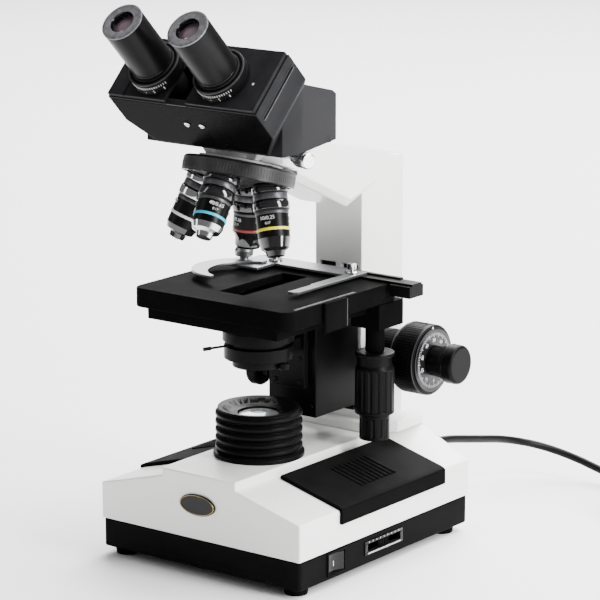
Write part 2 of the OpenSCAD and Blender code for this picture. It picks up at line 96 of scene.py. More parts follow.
class SharedGroups:
    """Shader node groups that several finishes use."""

    def __init__(self) -> None:
        self.grain = self._grain()
        self.brush = self._brush()
        self.dust = self._dust()
        self.wear = self._wear()

    @staticmethod
    def _start(name: str, inputs: dict[str, float], outputs: dict[str, str]) -> tuple:
        """Open a group with number inputs and the outputs asked for.

        Args:
            name: Name of the group.
            inputs: Default value of each number input.
            outputs: Socket type of each output.

        Returns:
            The tree, its input node, its output node and an adder of nodes.
        """
        tree = bpy.data.node_groups.new(name, "ShaderNodeTree")
        for key, value in inputs.items():
            socket = tree.interface.new_socket(key, in_out="INPUT", socket_type="NodeSocketFloat")
            socket.default_value = value
        for key, kind in outputs.items():
            tree.interface.new_socket(key, in_out="OUTPUT", socket_type=kind)
        return tree, tree.nodes.new("NodeGroupInput"), tree.nodes.new("NodeGroupOutput")

    def _grain(self) -> bpy.types.NodeTree:
        """Fine moulded or sprayed grain over broad, faint clouds."""
        tree, given, out = self._start(
            "Fine grain", {"Scale": 800.0, "Clouds": 20.0},
            {"Height": "NodeSocketFloat", "Cloud": "NodeSocketFloat"})
        place = object_place(tree)
        for scale, detail, result in (("Scale", 2.0, "Height"), ("Clouds", 3.0, "Cloud")):
            noise = add_node(tree, NOISE, Vector=place, Scale=given.outputs[scale], Detail=detail)
            tree.links.new(noise.outputs["Fac"], out.inputs[result])
        return tree

    def _brush(self) -> bpy.types.NodeTree:
        """Long scratches of a brushed or turned metal, drawn along one way."""
        tree, given, out = self._start(
            "Brushed lines", {"Scale": 400.0, "X": 1.0, "Y": 1.0, "Z": 1.0},
            {"Height": "NodeSocketFloat"})
        stretch = add_node(tree, "ShaderNodeCombineXYZ", **{a: given.outputs[a] for a in "XYZ"})
        product = tree.nodes.new("ShaderNodeVectorMath")
        product.operation = "MULTIPLY"
        tree.links.new(object_place(tree), product.inputs[0])
        tree.links.new(stretch.outputs[0], product.inputs[1])
        lines = add_node(tree, NOISE, Vector=product.outputs[0], Scale=given.outputs["Scale"],
                         Detail=4.0)
        tree.links.new(lines.outputs["Fac"], out.inputs["Height"])
        return tree

    def _dust(self) -> bpy.types.NodeTree:
        """A thin, uneven film of dust on faces that look up."""
        tree, given, out = self._start(
            "Settled dust", {"Amount": 0.1, "Scale": 60.0}, {"Mask": "NodeSocketFloat"})
        normal = tree.nodes.new("ShaderNodeNewGeometry").outputs["Normal"]
        parts = add_node(tree, "ShaderNodeSeparateXYZ", Vector=normal)
        up = add_node(tree, "ShaderNodeMapRange", From_Min=0.6, Value=parts.outputs["Z"])
        patches = add_node(tree, NOISE, Vector=object_place(tree), Scale=given.outputs["Scale"],
                           Detail=4.0)
        film = compute(tree, "MULTIPLY", up.outputs["Result"], patches.outputs["Fac"])
        mask = compute(tree, "MULTIPLY", film, given.outputs["Amount"])
        tree.links.new(mask, out.inputs["Mask"])
        return tree

    def _wear(self) -> bpy.types.NodeTree:
        """Small, sparse rubbed spots where a finish has thinned."""
        tree, given, out = self._start(
            "Rubbed spots", {"Scale": 180.0, "Amount": 0.2}, {"Mask": "NodeSocketFloat"})
        spots = add_node(tree, NOISE, Vector=object_place(tree), Scale=given.outputs["Scale"],
                         Detail=6.0)
        step = add_node(tree, "ShaderNodeMapRange", From_Min=0.62, From_Max=0.74,
                        Value=spots.outputs["Fac"])
        mask = compute(tree, "MULTIPLY", step.outputs["Result"], given.outputs["Amount"])
        tree.links.new(mask, out.inputs["Mask"])
        return tree


class Relief(Enum):
    """Ways in which a surface is textured."""

    GRAIN = "grain"
    BRUSHED = "brushed"


@dataclass(frozen=True)
class Finish:
    """One surface finish, made as a procedural material.

    Args:
        name: Name of the material.
        colour: Main colour, linear red, green and blue.
        second: Colour of the faint clouds and rubbed spots.
        rough: Roughness where the clouds are lightest and darkest.
        metallic: 1 for bare metal.
        scale: Scale of the grain or of the brushed lines.
        bump: Height of the relief, in metres.
        clouds: Scale of the broad colour clouds.
        spots: Amount of rubbed spots.
        dust: Amount of dust on faces that look up.
        coat: Weight of a clear coat.
        relief: Grain or brushed lines.
        lines: Stretch of brushed lines along X, Y and Z.
        glass: Share of light let through.
        ior: Index of refraction.
        specular: Strength of the plain surface reflection.
    """

    name: str
    colour: Point
    second: Point
    rough: tuple[float, float] = (0.35, 0.45)
    metallic: float = 0.0
    scale: float = 900.0
    bump: float = 0.00003
    clouds: float = 25.0
    spots: float = 0.0
    dust: float = 0.0
    coat: float = 0.0
    relief: Relief = Relief.GRAIN
    lines: Point = (1.0, 1.0, 1.0)
    glass: float = 0.0
    ior: float = 1.5
    specular: float = 0.5

    def build(self, groups: SharedGroups) -> bpy.types.Material:
        """Make the material.

        Args:
            groups: The shared node groups.

        Returns:
            The finished material.
        """
        made = bpy.data.materials.new(self.name)
        made.use_nodes = True
        tree = made.node_tree
        shader = tree.nodes["Principled BSDF"]
        plain = {"Metallic": self.metallic, "IOR": self.ior, "Transmission Weight": self.glass,
                 "Coat Weight": self.coat, "Coat Roughness": 0.08,
                 "Specular IOR Level": self.specular}
        for key, value in plain.items():
            shader.inputs[key].default_value = value
        grain = self._group(tree, groups.grain, Scale=self.scale, Clouds=self.clouds)
        mask = grain.outputs["Cloud"]
        colour = self._mix(tree, mask, self.colour, self.second, 0.35, 0.75)
        if self.spots:
            wear = self._group(tree, groups.wear, Amount=self.spots)
            colour = self._blend(tree, wear.outputs["Mask"], colour, self.second)
        if self.dust:
            film = self._group(tree, groups.dust, Amount=self.dust)
            colour = self._blend(tree, film.outputs["Mask"], colour, (0.5, 0.49, 0.47))
        tree.links.new(colour, shader.inputs["Base Color"])
        rough = add_node(tree, "ShaderNodeMapRange", From_Min=0.3, From_Max=0.7,
                         To_Min=self.rough[0], To_Max=self.rough[1], Value=mask)
        tree.links.new(rough.outputs["Result"], shader.inputs["Roughness"])
        height = grain.outputs["Height"]
        if self.relief is Relief.BRUSHED:
            brush = self._group(tree, groups.brush, Scale=self.scale, X=self.lines[0],
                                Y=self.lines[1], Z=self.lines[2])
            height = brush.outputs["Height"]
        if self.bump:
            bump = add_node(tree, "ShaderNodeBump", Distance=self.bump, Height=height)
            tree.links.new(bump.outputs["Normal"], shader.inputs["Normal"])
        return made

    @staticmethod
    def _group(tree: bpy.types.NodeTree, group: bpy.types.NodeTree,
               **values: float) -> bpy.types.Node:
        """Place a shared group and set its inputs."""
        made = tree.nodes.new("ShaderNodeGroup")
        made.node_tree = group
        for key, value in values.items():
            made.inputs[key].default_value = value
        return made

    @staticmethod
    def _mix(tree: bpy.types.NodeTree, mask: bpy.types.NodeSocket, first: Point,
             second: Point, low: float, high: float) -> bpy.types.NodeSocket:
        """Run from one colour to another as the mask goes from low to high."""
        ramp = tree.nodes.new("ShaderNodeValToRGB")
        ends = ((low, first), (high, second))
        for element, (position, colour) in zip(ramp.color_ramp.elements, ends):
            element.position = position
            element.color = (*colour, 1.0)
        tree.links.new(mask, ramp.inputs["Fac"])
        return ramp.outputs["Color"]

    @staticmethod
    def _blend(tree: bpy.types.NodeTree, mask: bpy.types.NodeSocket,
               under: bpy.types.NodeSocket, over: Point) -> bpy.types.NodeSocket:
        """Lay a colour over another where the mask is high."""
        mix = tree.nodes.new("ShaderNodeMix")
        mix.data_type = "RGBA"
        factor, first, second = mix.inputs[0], mix.inputs[6], mix.inputs[7]
        second.default_value = (*over, 1.0)
        tree.links.new(mask, factor)
        tree.links.new(under, first)
        return mix.outputs[2]


FINISHES = {
    "paint": Finish("Off-white enamel", (0.86, 0.86, 0.84), (0.83, 0.83, 0.805), (0.32, 0.40),
                    scale=420.0, bump=0.000012, clouds=9.0, dust=0.02, coat=0.25),
    "tray": Finish("Black moulded plastic", (0.0024, 0.0024, 0.0025), (0.0042, 0.0042, 0.0043),
                   (0.38, 0.5), scale=1500.0, bump=0.00003, dust=0.01, specular=0.015),
    "rubber": Finish("Black rubber", (0.0022, 0.0022, 0.0023), (0.0036, 0.0036, 0.0037),
                     (0.5, 0.62), scale=1800.0, bump=0.00003, dust=0.01, specular=0.01),
    "gloss": Finish("Gloss black plastic", (0.0020, 0.0020, 0.0020), (0.0030, 0.0030, 0.0030),
                    (0.12, 0.2), scale=500.0, bump=0.000004, specular=0.2),
    "satin": Finish("Satin black enamel", (0.0018, 0.0018, 0.0019), (0.0030, 0.0030, 0.0031),
                    (0.3, 0.4), scale=1300.0, bump=0.000012, dust=0.01, specular=0.05),
    "stage": Finish("Black stage coating", (0.0020, 0.0020, 0.0021), (0.0034, 0.0034, 0.0035),
                    (0.36, 0.46), scale=1700.0, bump=0.00002, dust=0.01, specular=0.003),
    "texture": Finish("Fine-textured dark grey", (0.0110, 0.0110, 0.0121),
                      (0.0175, 0.0175, 0.0190), (0.42, 0.55), scale=1500.0, bump=0.00012,
                      clouds=60.0, dust=0.01, specular=0.03),
    "front": Finish("Smooth black front", (0.0016, 0.0016, 0.0016), (0.0025, 0.0025, 0.0026),
                    (0.22, 0.32), scale=700.0, bump=0.00001, specular=0.008),
    "knob": Finish("Satin black knob", (0.0018, 0.0018, 0.0020), (0.0030, 0.0030, 0.0032),
                   (0.34, 0.44), scale=1600.0, bump=0.00002, specular=0.06),
    "barrel": Finish("Black anodised barrel", (0.0018, 0.0018, 0.0020), (0.0032, 0.0032, 0.0034),
                     (0.3, 0.38), scale=1200.0, bump=0.000008, clouds=70.0, specular=0.10),
    # The rim finish is also used for a painted highlight strip on the vernier block's edge.
    "rim": Finish("Dim grey rim and painted edge highlight", (0.030, 0.030, 0.032), (0.018, 0.018, 0.020), (0.4, 0.5),
                  specular=0.15),
    "holder": Finish("Grey slide holder", (0.26, 0.265, 0.275), (0.19, 0.195, 0.20), (0.34, 0.46),
                     metallic=1.0, bump=0.000008),
    "worn": Finish("Worn grey edge", (0.16, 0.16, 0.165), (0.05, 0.05, 0.055), (0.35, 0.5),
                   metallic=0.4, scale=1200.0, clouds=420.0, spots=0.8),
    "annulus": Finish("Grey eyepiece face", (0.13, 0.13, 0.14), (0.05, 0.05, 0.055),
                      (0.4, 0.5), scale=1400.0, clouds=260.0, spots=0.5),
    "chrome": Finish("Bright chrome", (0.72, 0.72, 0.74), (0.62, 0.62, 0.65), (0.08, 0.16),
                     metallic=1.0, scale=500.0, bump=0.000002),
    "steel": Finish("Brushed steel", (0.50, 0.51, 0.53), (0.40, 0.41, 0.43), (0.25, 0.36),
                    metallic=1.0, scale=900.0, bump=0.00001, relief=Relief.BRUSHED,
                    lines=(0.05, 1.0, 1.0)),
    "dial": Finish("Satin grey dial", (0.050, 0.050, 0.053), (0.034, 0.034, 0.037),
                   (0.3, 0.42), metallic=0.9, scale=800.0, bump=0.00001, clouds=120.0,
                   relief=Relief.BRUSHED, lines=(1.0, 0.2, 0.2)),
    "lens": Finish("Coated eye lens", (0.30, 0.22, 0.25), (0.22, 0.15, 0.19), (0.03, 0.06),
                   metallic=0.35, bump=0.0, clouds=40.0, coat=1.0, ior=1.7),
    "frost": Finish("Frosted lamp glass", (0.20, 0.21, 0.22), (0.13, 0.14, 0.145),
                    (0.16, 0.25), bump=0.000004, clouds=50.0, coat=0.8, ior=1.52),
    "clear": Finish("Clear glass", (0.92, 0.95, 0.96), (0.86, 0.91, 0.93), (0.02, 0.04),
                    bump=0.0, glass=1.0, ior=1.52),
    "ceramic": Finish("Unglazed ceramic", (0.70, 0.67, 0.60), (0.60, 0.57, 0.50), (0.6, 0.75)),
    "winding": Finish("Varnished winding", (0.30, 0.11, 0.04), (0.16, 0.05, 0.02),
                      (0.25, 0.4), scale=900.0, bump=0.0001, relief=Relief.BRUSHED,
                      lines=(0.04, 1.0, 1.0)),
    "board": Finish("Green circuit board", (0.02, 0.13, 0.05), (0.015, 0.09, 0.04),
                    (0.3, 0.4), clouds=120.0),
    "vinyl": Finish("Black vinyl lead", (0.0020, 0.0020, 0.0021), (0.0034, 0.0034, 0.0035),
                    (0.34, 0.44), scale=1500.0, bump=0.00001, specular=0.1),
    "nosepiece": Finish("Worn black nosepiece", (0.0090, 0.0090, 0.0095), (0.0300, 0.0300, 0.0310),
                        (0.34, 0.5), scale=1100.0, bump=0.00002, clouds=55.0, spots=0.35,
                        relief=Relief.BRUSHED, lines=(1.0, 1.0, 0.15), specular=0.25),
    "grey_band": Finish("Dull grey band", (0.075, 0.075, 0.08), (0.045, 0.045, 0.05),
                        (0.3, 0.42), metallic=0.5, clouds=200.0, specular=0.4),
    "black_gloss": Finish("Gloss black barrel", (0.006, 0.006, 0.006), (0.010, 0.010, 0.010),
                          (0.07, 0.12), bump=0.0, clouds=40.0, coat=0.6),
    "red": Finish("Red ring", (0.22, 0.015, 0.015), (0.16, 0.01, 0.01), (0.25, 0.35)),
    "yellow": Finish("Yellow ring", (0.72, 0.62, 0.03), (0.60, 0.50, 0.02), (0.25, 0.35)),
    "cyan": Finish("Light blue ring", (0.03, 0.42, 0.62), (0.02, 0.34, 0.52), (0.25, 0.35)),
    "white": Finish("White engraving", (0.75, 0.75, 0.74), (0.62, 0.62, 0.61), (0.45, 0.55)),
    "gold": Finish("Thin gold rim", (0.55, 0.38, 0.12), (0.42, 0.28, 0.09), (0.25, 0.35),
                   metallic=1.0),
    # The dark finish is painted shade in the screw slots and column slots, and the real black of
    # the printed ticks.
    "dark": Finish("Painted recess shade and print black", (0.004, 0.004, 0.004), (0.006, 0.006, 0.006), (0.6, 0.7),
                   specular=0.1),
    "floor": Finish("Pale floor", (0.92, 0.92, 0.92), (0.915, 0.915, 0.915), (0.7, 0.8),
                    scale=40.0, bump=0.0, clouds=1.5),
}


# Frames of the tilted parts, in millimetres ----------------------------------


def move(x: float, y: float, z: float) -> Matrix:
    """Return a shift."""
    return Matrix.Translation((x, y, z))


def turn(degrees: float, axis: str) -> Matrix:
    """Return a turn about X, Y or Z."""
    return Matrix.Rotation(math.radians(degrees), 4, axis)


def across(y: float, z: float) -> Matrix:
    """Return the frame of a shaft that runs along X, its own Z towards +X."""
    return move(0, y, z) @ turn(90, "Y")


AXIS_Y = -34.0
TILT = 17.0
SEAT_R = 24.0
TURRET = move(0, AXIS_Y - SEAT_R * math.cos(math.radians(TILT)), 281) @ turn(-TILT, "X")
HEAD = move(0, -119.5, 340) @ turn(45, "X")
EYE_SPACING = 57.0
MIRROR = Matrix.Scale(-1, 4, (1, 0, 0))
DOWN = Matrix.Scale(-1, 4, (0, 0, 1))


def objective_frame(place: int) -> Matrix:
    """Return the frame of an objective's seat, with the body running down -Z."""
    return TURRET @ turn(90 * place + 13, "Z") @ move(SEAT_R, 0, 0) @ turn(-TILT, "Y")


def tube_frame(side: int) -> Matrix:
    """Return the frame of an eyepiece tube, -1 for the left and 1 for the right."""
    return HEAD @ move(side * EYE_SPACING / 2, 22, 0)


# Shapes ----------------------------------------------------------------------


@dataclass
class Shape:
    """Closed faces that share one finish, in millimetres.

    Args:
        points: Corners.
        faces: Corner numbers of each face.
        finish: Key of the finish in FINISHES.
    """

    points: list[Vector]
    faces: list[list[int]]
    finish: str

    def at(self, matrix: Matrix) -> "Shape":
        """Return the shape moved by a matrix, its faces still outwards."""
        flipped = matrix.determinant() < 0
        faces = [list(reversed(f)) if flipped else list(f) for f in self.faces]
        return Shape([matrix @ p for p in self.points], faces, self.finish)

    @staticmethod
    def from_bmesh(made: bmesh.types.BMesh, finish: str) -> "Shape":
        """Take a shape from a bmesh and free it."""
        bmesh.ops.recalc_face_normals(made, faces=made.faces)
        made.verts.index_update()
        points = [v.co.copy() for v in made.verts]
        faces = [[v.index for v in f.verts] for f in made.faces]
        made.free()
        return Shape(points, faces, finish)

    @staticmethod
    def from_mesh(mesh: bpy.types.Mesh, finish: str) -> "Shape":
        """Take a shape from a mesh and remove the mesh."""
        points = [v.co.copy() for v in mesh.vertices]
        faces = [list(p.vertices) for p in mesh.polygons]
        bpy.data.meshes.remove(mesh)
        return Shape(points, faces, finish)


def lathe(profile: Profile, finish: str, segments: int = 96) -> Shape:
    """Turn an outline round Z.

    Args:
        profile: (radius, height) points. The outline closes on itself if it
            stays off the axis, and otherwise begins and ends on it.
        finish: Key of the finish.
        segments: Number of steps round.

    Returns:
        The turned shape.
    """
    points: list[Vector] = []
    rows: list[list[int]] = []
    for radius, height in profile:
        if radius < 1e-6:
            rows.append([len(points)])
            points.append(Vector((0, 0, height)))
            continue
        rows.append(list(range(len(points), len(points) + segments)))
        for k in range(segments):
            angle = math.tau * k / segments
            points.append(Vector((radius * math.cos(angle), radius * math.sin(angle), height)))
    pairs = list(zip(rows, rows[1:]))
    if len(rows[0]) > 1:
        pairs.append((rows[-1], rows[0]))
    faces: list[list[int]] = []
    for low, high in pairs:
        for k in range(segments):
            j = (k + 1) % segments
            corners = [low[k % len(low)], low[j % len(low)], high[j % len(high)],
                       high[k % len(high)]]
            faces.append(list(dict.fromkeys(corners)))
    made = bmesh.new()
    verts = [made.verts.new(p) for p in points]
    for face in faces:
        if len(face) > 2:
            made.faces.new([verts[i] for i in face])
    return Shape.from_bmesh(made, finish)


def sleeve(inner: float, outer: float, low: float, high: float, finish: str,
           edge: float = 0.3, segments: int = 96) -> Shape:
    """Make a ring with eased outer edges.

    Args:
        inner: Inner radius.
        outer: Outer radius.
        low: Height of the lower face.
        high: Height of the upper face.
        finish: Key of the finish.
        edge: Size of the eased edge.
        segments: Number of steps round.

    Returns:
        The ring.
    """
    return lathe([(inner, low), (outer - edge, low), (outer - edge * 0.3, low + edge * 0.3),
                  (outer, low + edge), (outer, high - edge), (outer - edge * 0.3,
                  high - edge * 0.3), (outer - edge, high), (inner, high)], finish, segments)


def prism(outline: Profile, low: float, high: float, finish: str, edge: float = 0.0,
          steps: int = 2) -> Shape:
    """Push a flat outline up along Z.

    Args:
        outline: (x, y) corners in order.
        low: Height of the lower face.
        high: Height of the upper face.
        finish: Key of the finish.
        edge: Size of the rounded edges round the upper and lower faces.
        steps: Steps in each rounded edge.

    Returns:
        The prism.
    """
    made = bmesh.new()
    bottom = made.faces.new([made.verts.new((x, y, low)) for x, y in outline])
    grown = bmesh.ops.extrude_face_region(made, geom=[bottom])["geom"]
    lifted = [v for v in grown if isinstance(v, bmesh.types.BMVert)]
    bmesh.ops.translate(made, verts=lifted, vec=(0, 0, high - low))
    bmesh.ops.recalc_face_normals(made, faces=made.faces)
    if edge:
        flat = [e for e in made.edges if abs(e.verts[0].co.z - e.verts[1].co.z) < 1e-6]
        bmesh.ops.bevel(made, geom=flat, offset=edge, segments=steps, affect="EDGES",
                        profile=0.5, clamp_overlap=True)
    return Shape.from_bmesh(made, finish)


def block(low: Point, high: Point, finish: str, edge: float = 0.4, steps: int = 2) -> Shape:
    """Make a block with rounded edges between two corners.

    Args:
        low: Lowest corner.
        high: Highest corner.
        finish: Key of the finish.
        edge: Size of the rounded edges.
        steps: Steps in each rounded edge.

    Returns:
        The block.
    """
    made = bmesh.new()
    bmesh.ops.create_cube(made, size=1.0)
    size = Vector(high) - Vector(low)
    middle = (Vector(high) + Vector(low)) / 2
    for vert in made.verts:
        vert.co = Vector((vert.co.x * size.x, vert.co.y * size.y, vert.co.z * size.z)) + middle
    bmesh.ops.bevel(made, geom=list(made.edges), offset=edge, segments=steps, affect="EDGES",
                    profile=0.5, clamp_overlap=True)
    return Shape.from_bmesh(made, finish)


def rod(path: Sequence[Point], radius: float, finish: str, segments: int = 24) -> Shape:
    """Sweep a round rod with domed ends along points.

    Args:
        path: Points of the middle line.
        radius: Radius of the rod.
        finish: Key of the finish.
        segments: Number of steps round.

    Returns:
        The rod.
    """
    line = [Vector(p) for p in path]
    rings: list[tuple[Vector, Vector, float]] = []
    first = (line[1] - line[0]).normalized()
    last = (line[-1] - line[-2]).normalized()
    for k in range(1, 4):
        angle = math.radians(30 * k)
        rings.append((line[0] - first * radius * math.cos(angle), first, radius * math.sin(angle)))
    for k, point in enumerate(line):
        before = line[max(k - 1, 0)]
        after = line[min(k + 1, len(line) - 1)]
        rings.append((point, (after - before).normalized(), radius))
    for k in (2, 1):
        angle = math.radians(30 * k)
        rings.append((line[-1] + last * radius * math.cos(angle), last, radius * math.sin(angle)))
    rings.pop(2)
    made = bmesh.new()
    side = first.orthogonal().normalized()
    rows = []
    for middle, along, size in rings:
        side = (side - along * side.dot(along)).normalized()
        other = along.cross(side)
        rows.append([made.verts.new(middle + size * (side * math.cos(math.tau * k / segments)
                     + other * math.sin(math.tau * k / segments))) for k in range(segments)])
    for low, high in zip(rows, rows[1:]):
        for k in range(segments):
            j = (k + 1) % segments
            made.faces.new([low[k], low[j], high[j], high[k]])
    for row, tip in ((rows[0], line[0] - first * radius), (rows[-1], line[-1] + last * radius)):
        pole = made.verts.new(tip)
        for k in range(segments):
            made.faces.new([row[k], row[(k + 1) % segments], pole])
    return Shape.from_bmesh(made, finish)


def number(text: str, height: float, finish: str, depth: float = 0.08) -> Shape:
    """Make raised figures, centred on the origin and facing +Z."""
    curve = bpy.data.curves.new("figures", "FONT")
    curve.body = text
    curve.size = height * 1.4
    curve.align_x = "CENTER"
    curve.align_y = "CENTER"
    curve.extrude = depth / 2
    curve.resolution_u = 3
    made = bpy.data.objects.new("figures", curve)
    bpy.context.scene.collection.objects.link(made)
    graph = bpy.context.evaluated_depsgraph_get()
    mesh = bpy.data.meshes.new_from_object(made.evaluated_get(graph))
    bpy.data.objects.remove(made)
    bpy.data.curves.remove(curve)
    return Shape.from_mesh(mesh, finish)


# Repeats ---------------------------------------------------------------------


class Repeater:
    """Geometry Nodes trees that repeat a small shape round a circle or along a line."""

    def __init__(self) -> None:
        self.ring = self._tree("Repeat round", {"Count": 8, "Radius": 10.0, "Start": 0.0,
                                                "Sweep": 360.0})
        self.row = self._tree("Repeat along", {"Count": 8, "X": 1.0, "Y": 0.0, "Z": 0.0})

    def _tree(self, name: str, values: dict[str, float]) -> bpy.types.NodeTree:
        """Make one of the two trees.

        Args:
            name: Name of the tree.
            values: Its number inputs and their defaults.

        Returns:
            The tree.
        """
        tree = bpy.data.node_groups.new(name, "GeometryNodeTree")
        side = tree.interface.new_socket
        side("Geometry", in_out="INPUT", socket_type="NodeSocketGeometry")
        for key, value in values.items():
            kind = "NodeSocketInt" if isinstance(value, int) else "NodeSocketFloat"
            side(key, in_out="INPUT", socket_type=kind).default_value = value
        side("Material", in_out="INPUT", socket_type="NodeSocketMaterial")
        side("Geometry", in_out="OUTPUT", socket_type="NodeSocketGeometry")
        given = tree.nodes.new("NodeGroupInput")
        out = tree.nodes.new("NodeGroupOutput")
        line = add_node(tree, "GeometryNodeMeshLine", Offset=(0, 0, 0),
                        Count=given.outputs["Count"])
        index = tree.nodes.new("GeometryNodeInputIndex").outputs[0]
        copies = tree.nodes.new("GeometryNodeInstanceOnPoints")
        place = tree.nodes.new("ShaderNodeCombineXYZ")
        if "Radius" in values:
            share = compute(tree, "DIVIDE", index, given.outputs["Count"])
            swept = compute(tree, "MULTIPLY", share, given.outputs["Sweep"])
            degrees = compute(tree, "ADD", swept, given.outputs["Start"])
            angle = compute(tree, "RADIANS", degrees)
            spin = add_node(tree, "ShaderNodeCombineXYZ", Z=angle)
            tree.links.new(spin.outputs[0], copies.inputs["Rotation"])
            for axis, function in (("X", "COSINE"), ("Y", "SINE")):
                part = compute(tree, function, angle)
                scaled = compute(tree, "MULTIPLY", part, given.outputs["Radius"])
                tree.links.new(scaled, place.inputs[axis])
        else:
            for axis in "XYZ":
                scaled = compute(tree, "MULTIPLY", index, given.outputs[axis])
                tree.links.new(scaled, place.inputs[axis])
        put = add_node(tree, "GeometryNodeSetPosition", Geometry=line.outputs["Mesh"],
                       Position=place.outputs[0])
        tree.links.new(put.outputs["Geometry"], copies.inputs["Points"])
        tree.links.new(given.outputs["Geometry"], copies.inputs["Instance"])
        real = add_node(tree, "GeometryNodeRealizeInstances", Geometry=copies.outputs["Instances"])
        painted = add_node(tree, "GeometryNodeSetMaterial", Geometry=real.outputs["Geometry"],
                           Material=given.outputs["Material"])
        tree.links.new(painted.outputs["Geometry"], out.inputs["Geometry"])
        return tree

    @staticmethod
    def _run(tree: bpy.types.NodeTree, shape: Shape, values: dict[str, float]) -> Shape:
        """Run a tree on a shape.

        Args:
            tree: The tree.
            shape: The shape to repeat.
            values: Values of the number inputs.

        Returns:
            All the copies as one shape.
        """
        mesh = bpy.data.meshes.new("seed")
        mesh.from_pydata([tuple(p) for p in shape.points], [], shape.faces)
        seed = bpy.data.objects.new("seed", mesh)
        bpy.context.scene.collection.objects.link(seed)
        modifier = seed.modifiers.new("Repeat", "NODES")
        modifier.node_group = tree
        for item in tree.interface.items_tree:
            if item.item_type == "SOCKET" and item.in_out == "INPUT" and item.name in values:
                modifier[item.identifier] = values[item.name]
        graph = bpy.context.evaluated_depsgraph_get()
        made = bpy.data.meshes.new_from_object(seed.evaluated_get(graph))
        seed.modifiers.clear()
        bpy.data.objects.remove(seed)
        bpy.data.meshes.remove(mesh)
        return Shape.from_mesh(made, shape.finish)

    def around(self, shape: Shape, count: int, radius: float, start: float = 0.0,
               sweep: float = 360.0) -> Shape:
        """Repeat a shape round Z, turned with its place.

        Args:
            shape: The shape, with its outward side towards +X.
            count: Number of copies.
            radius: Radius of the circle.
            start: Angle of the first copy, in degrees.
            sweep: Angle that the copies share out, in degrees.

        Returns:
            The copies.
        """
        values = {"Count": count, "Radius": radius, "Start": start, "Sweep": sweep}
        return self._run(self.ring, shape, values)

    def along(self, shape: Shape, count: int, step: Point) -> Shape:
        """Repeat a shape along a straight step."""
        values = {"Count": count, "X": float(step[0]), "Y": float(step[1]), "Z": float(step[2])}
        return self._run(self.row, shape, values)


# The workshop ----------------------------------------------------------------


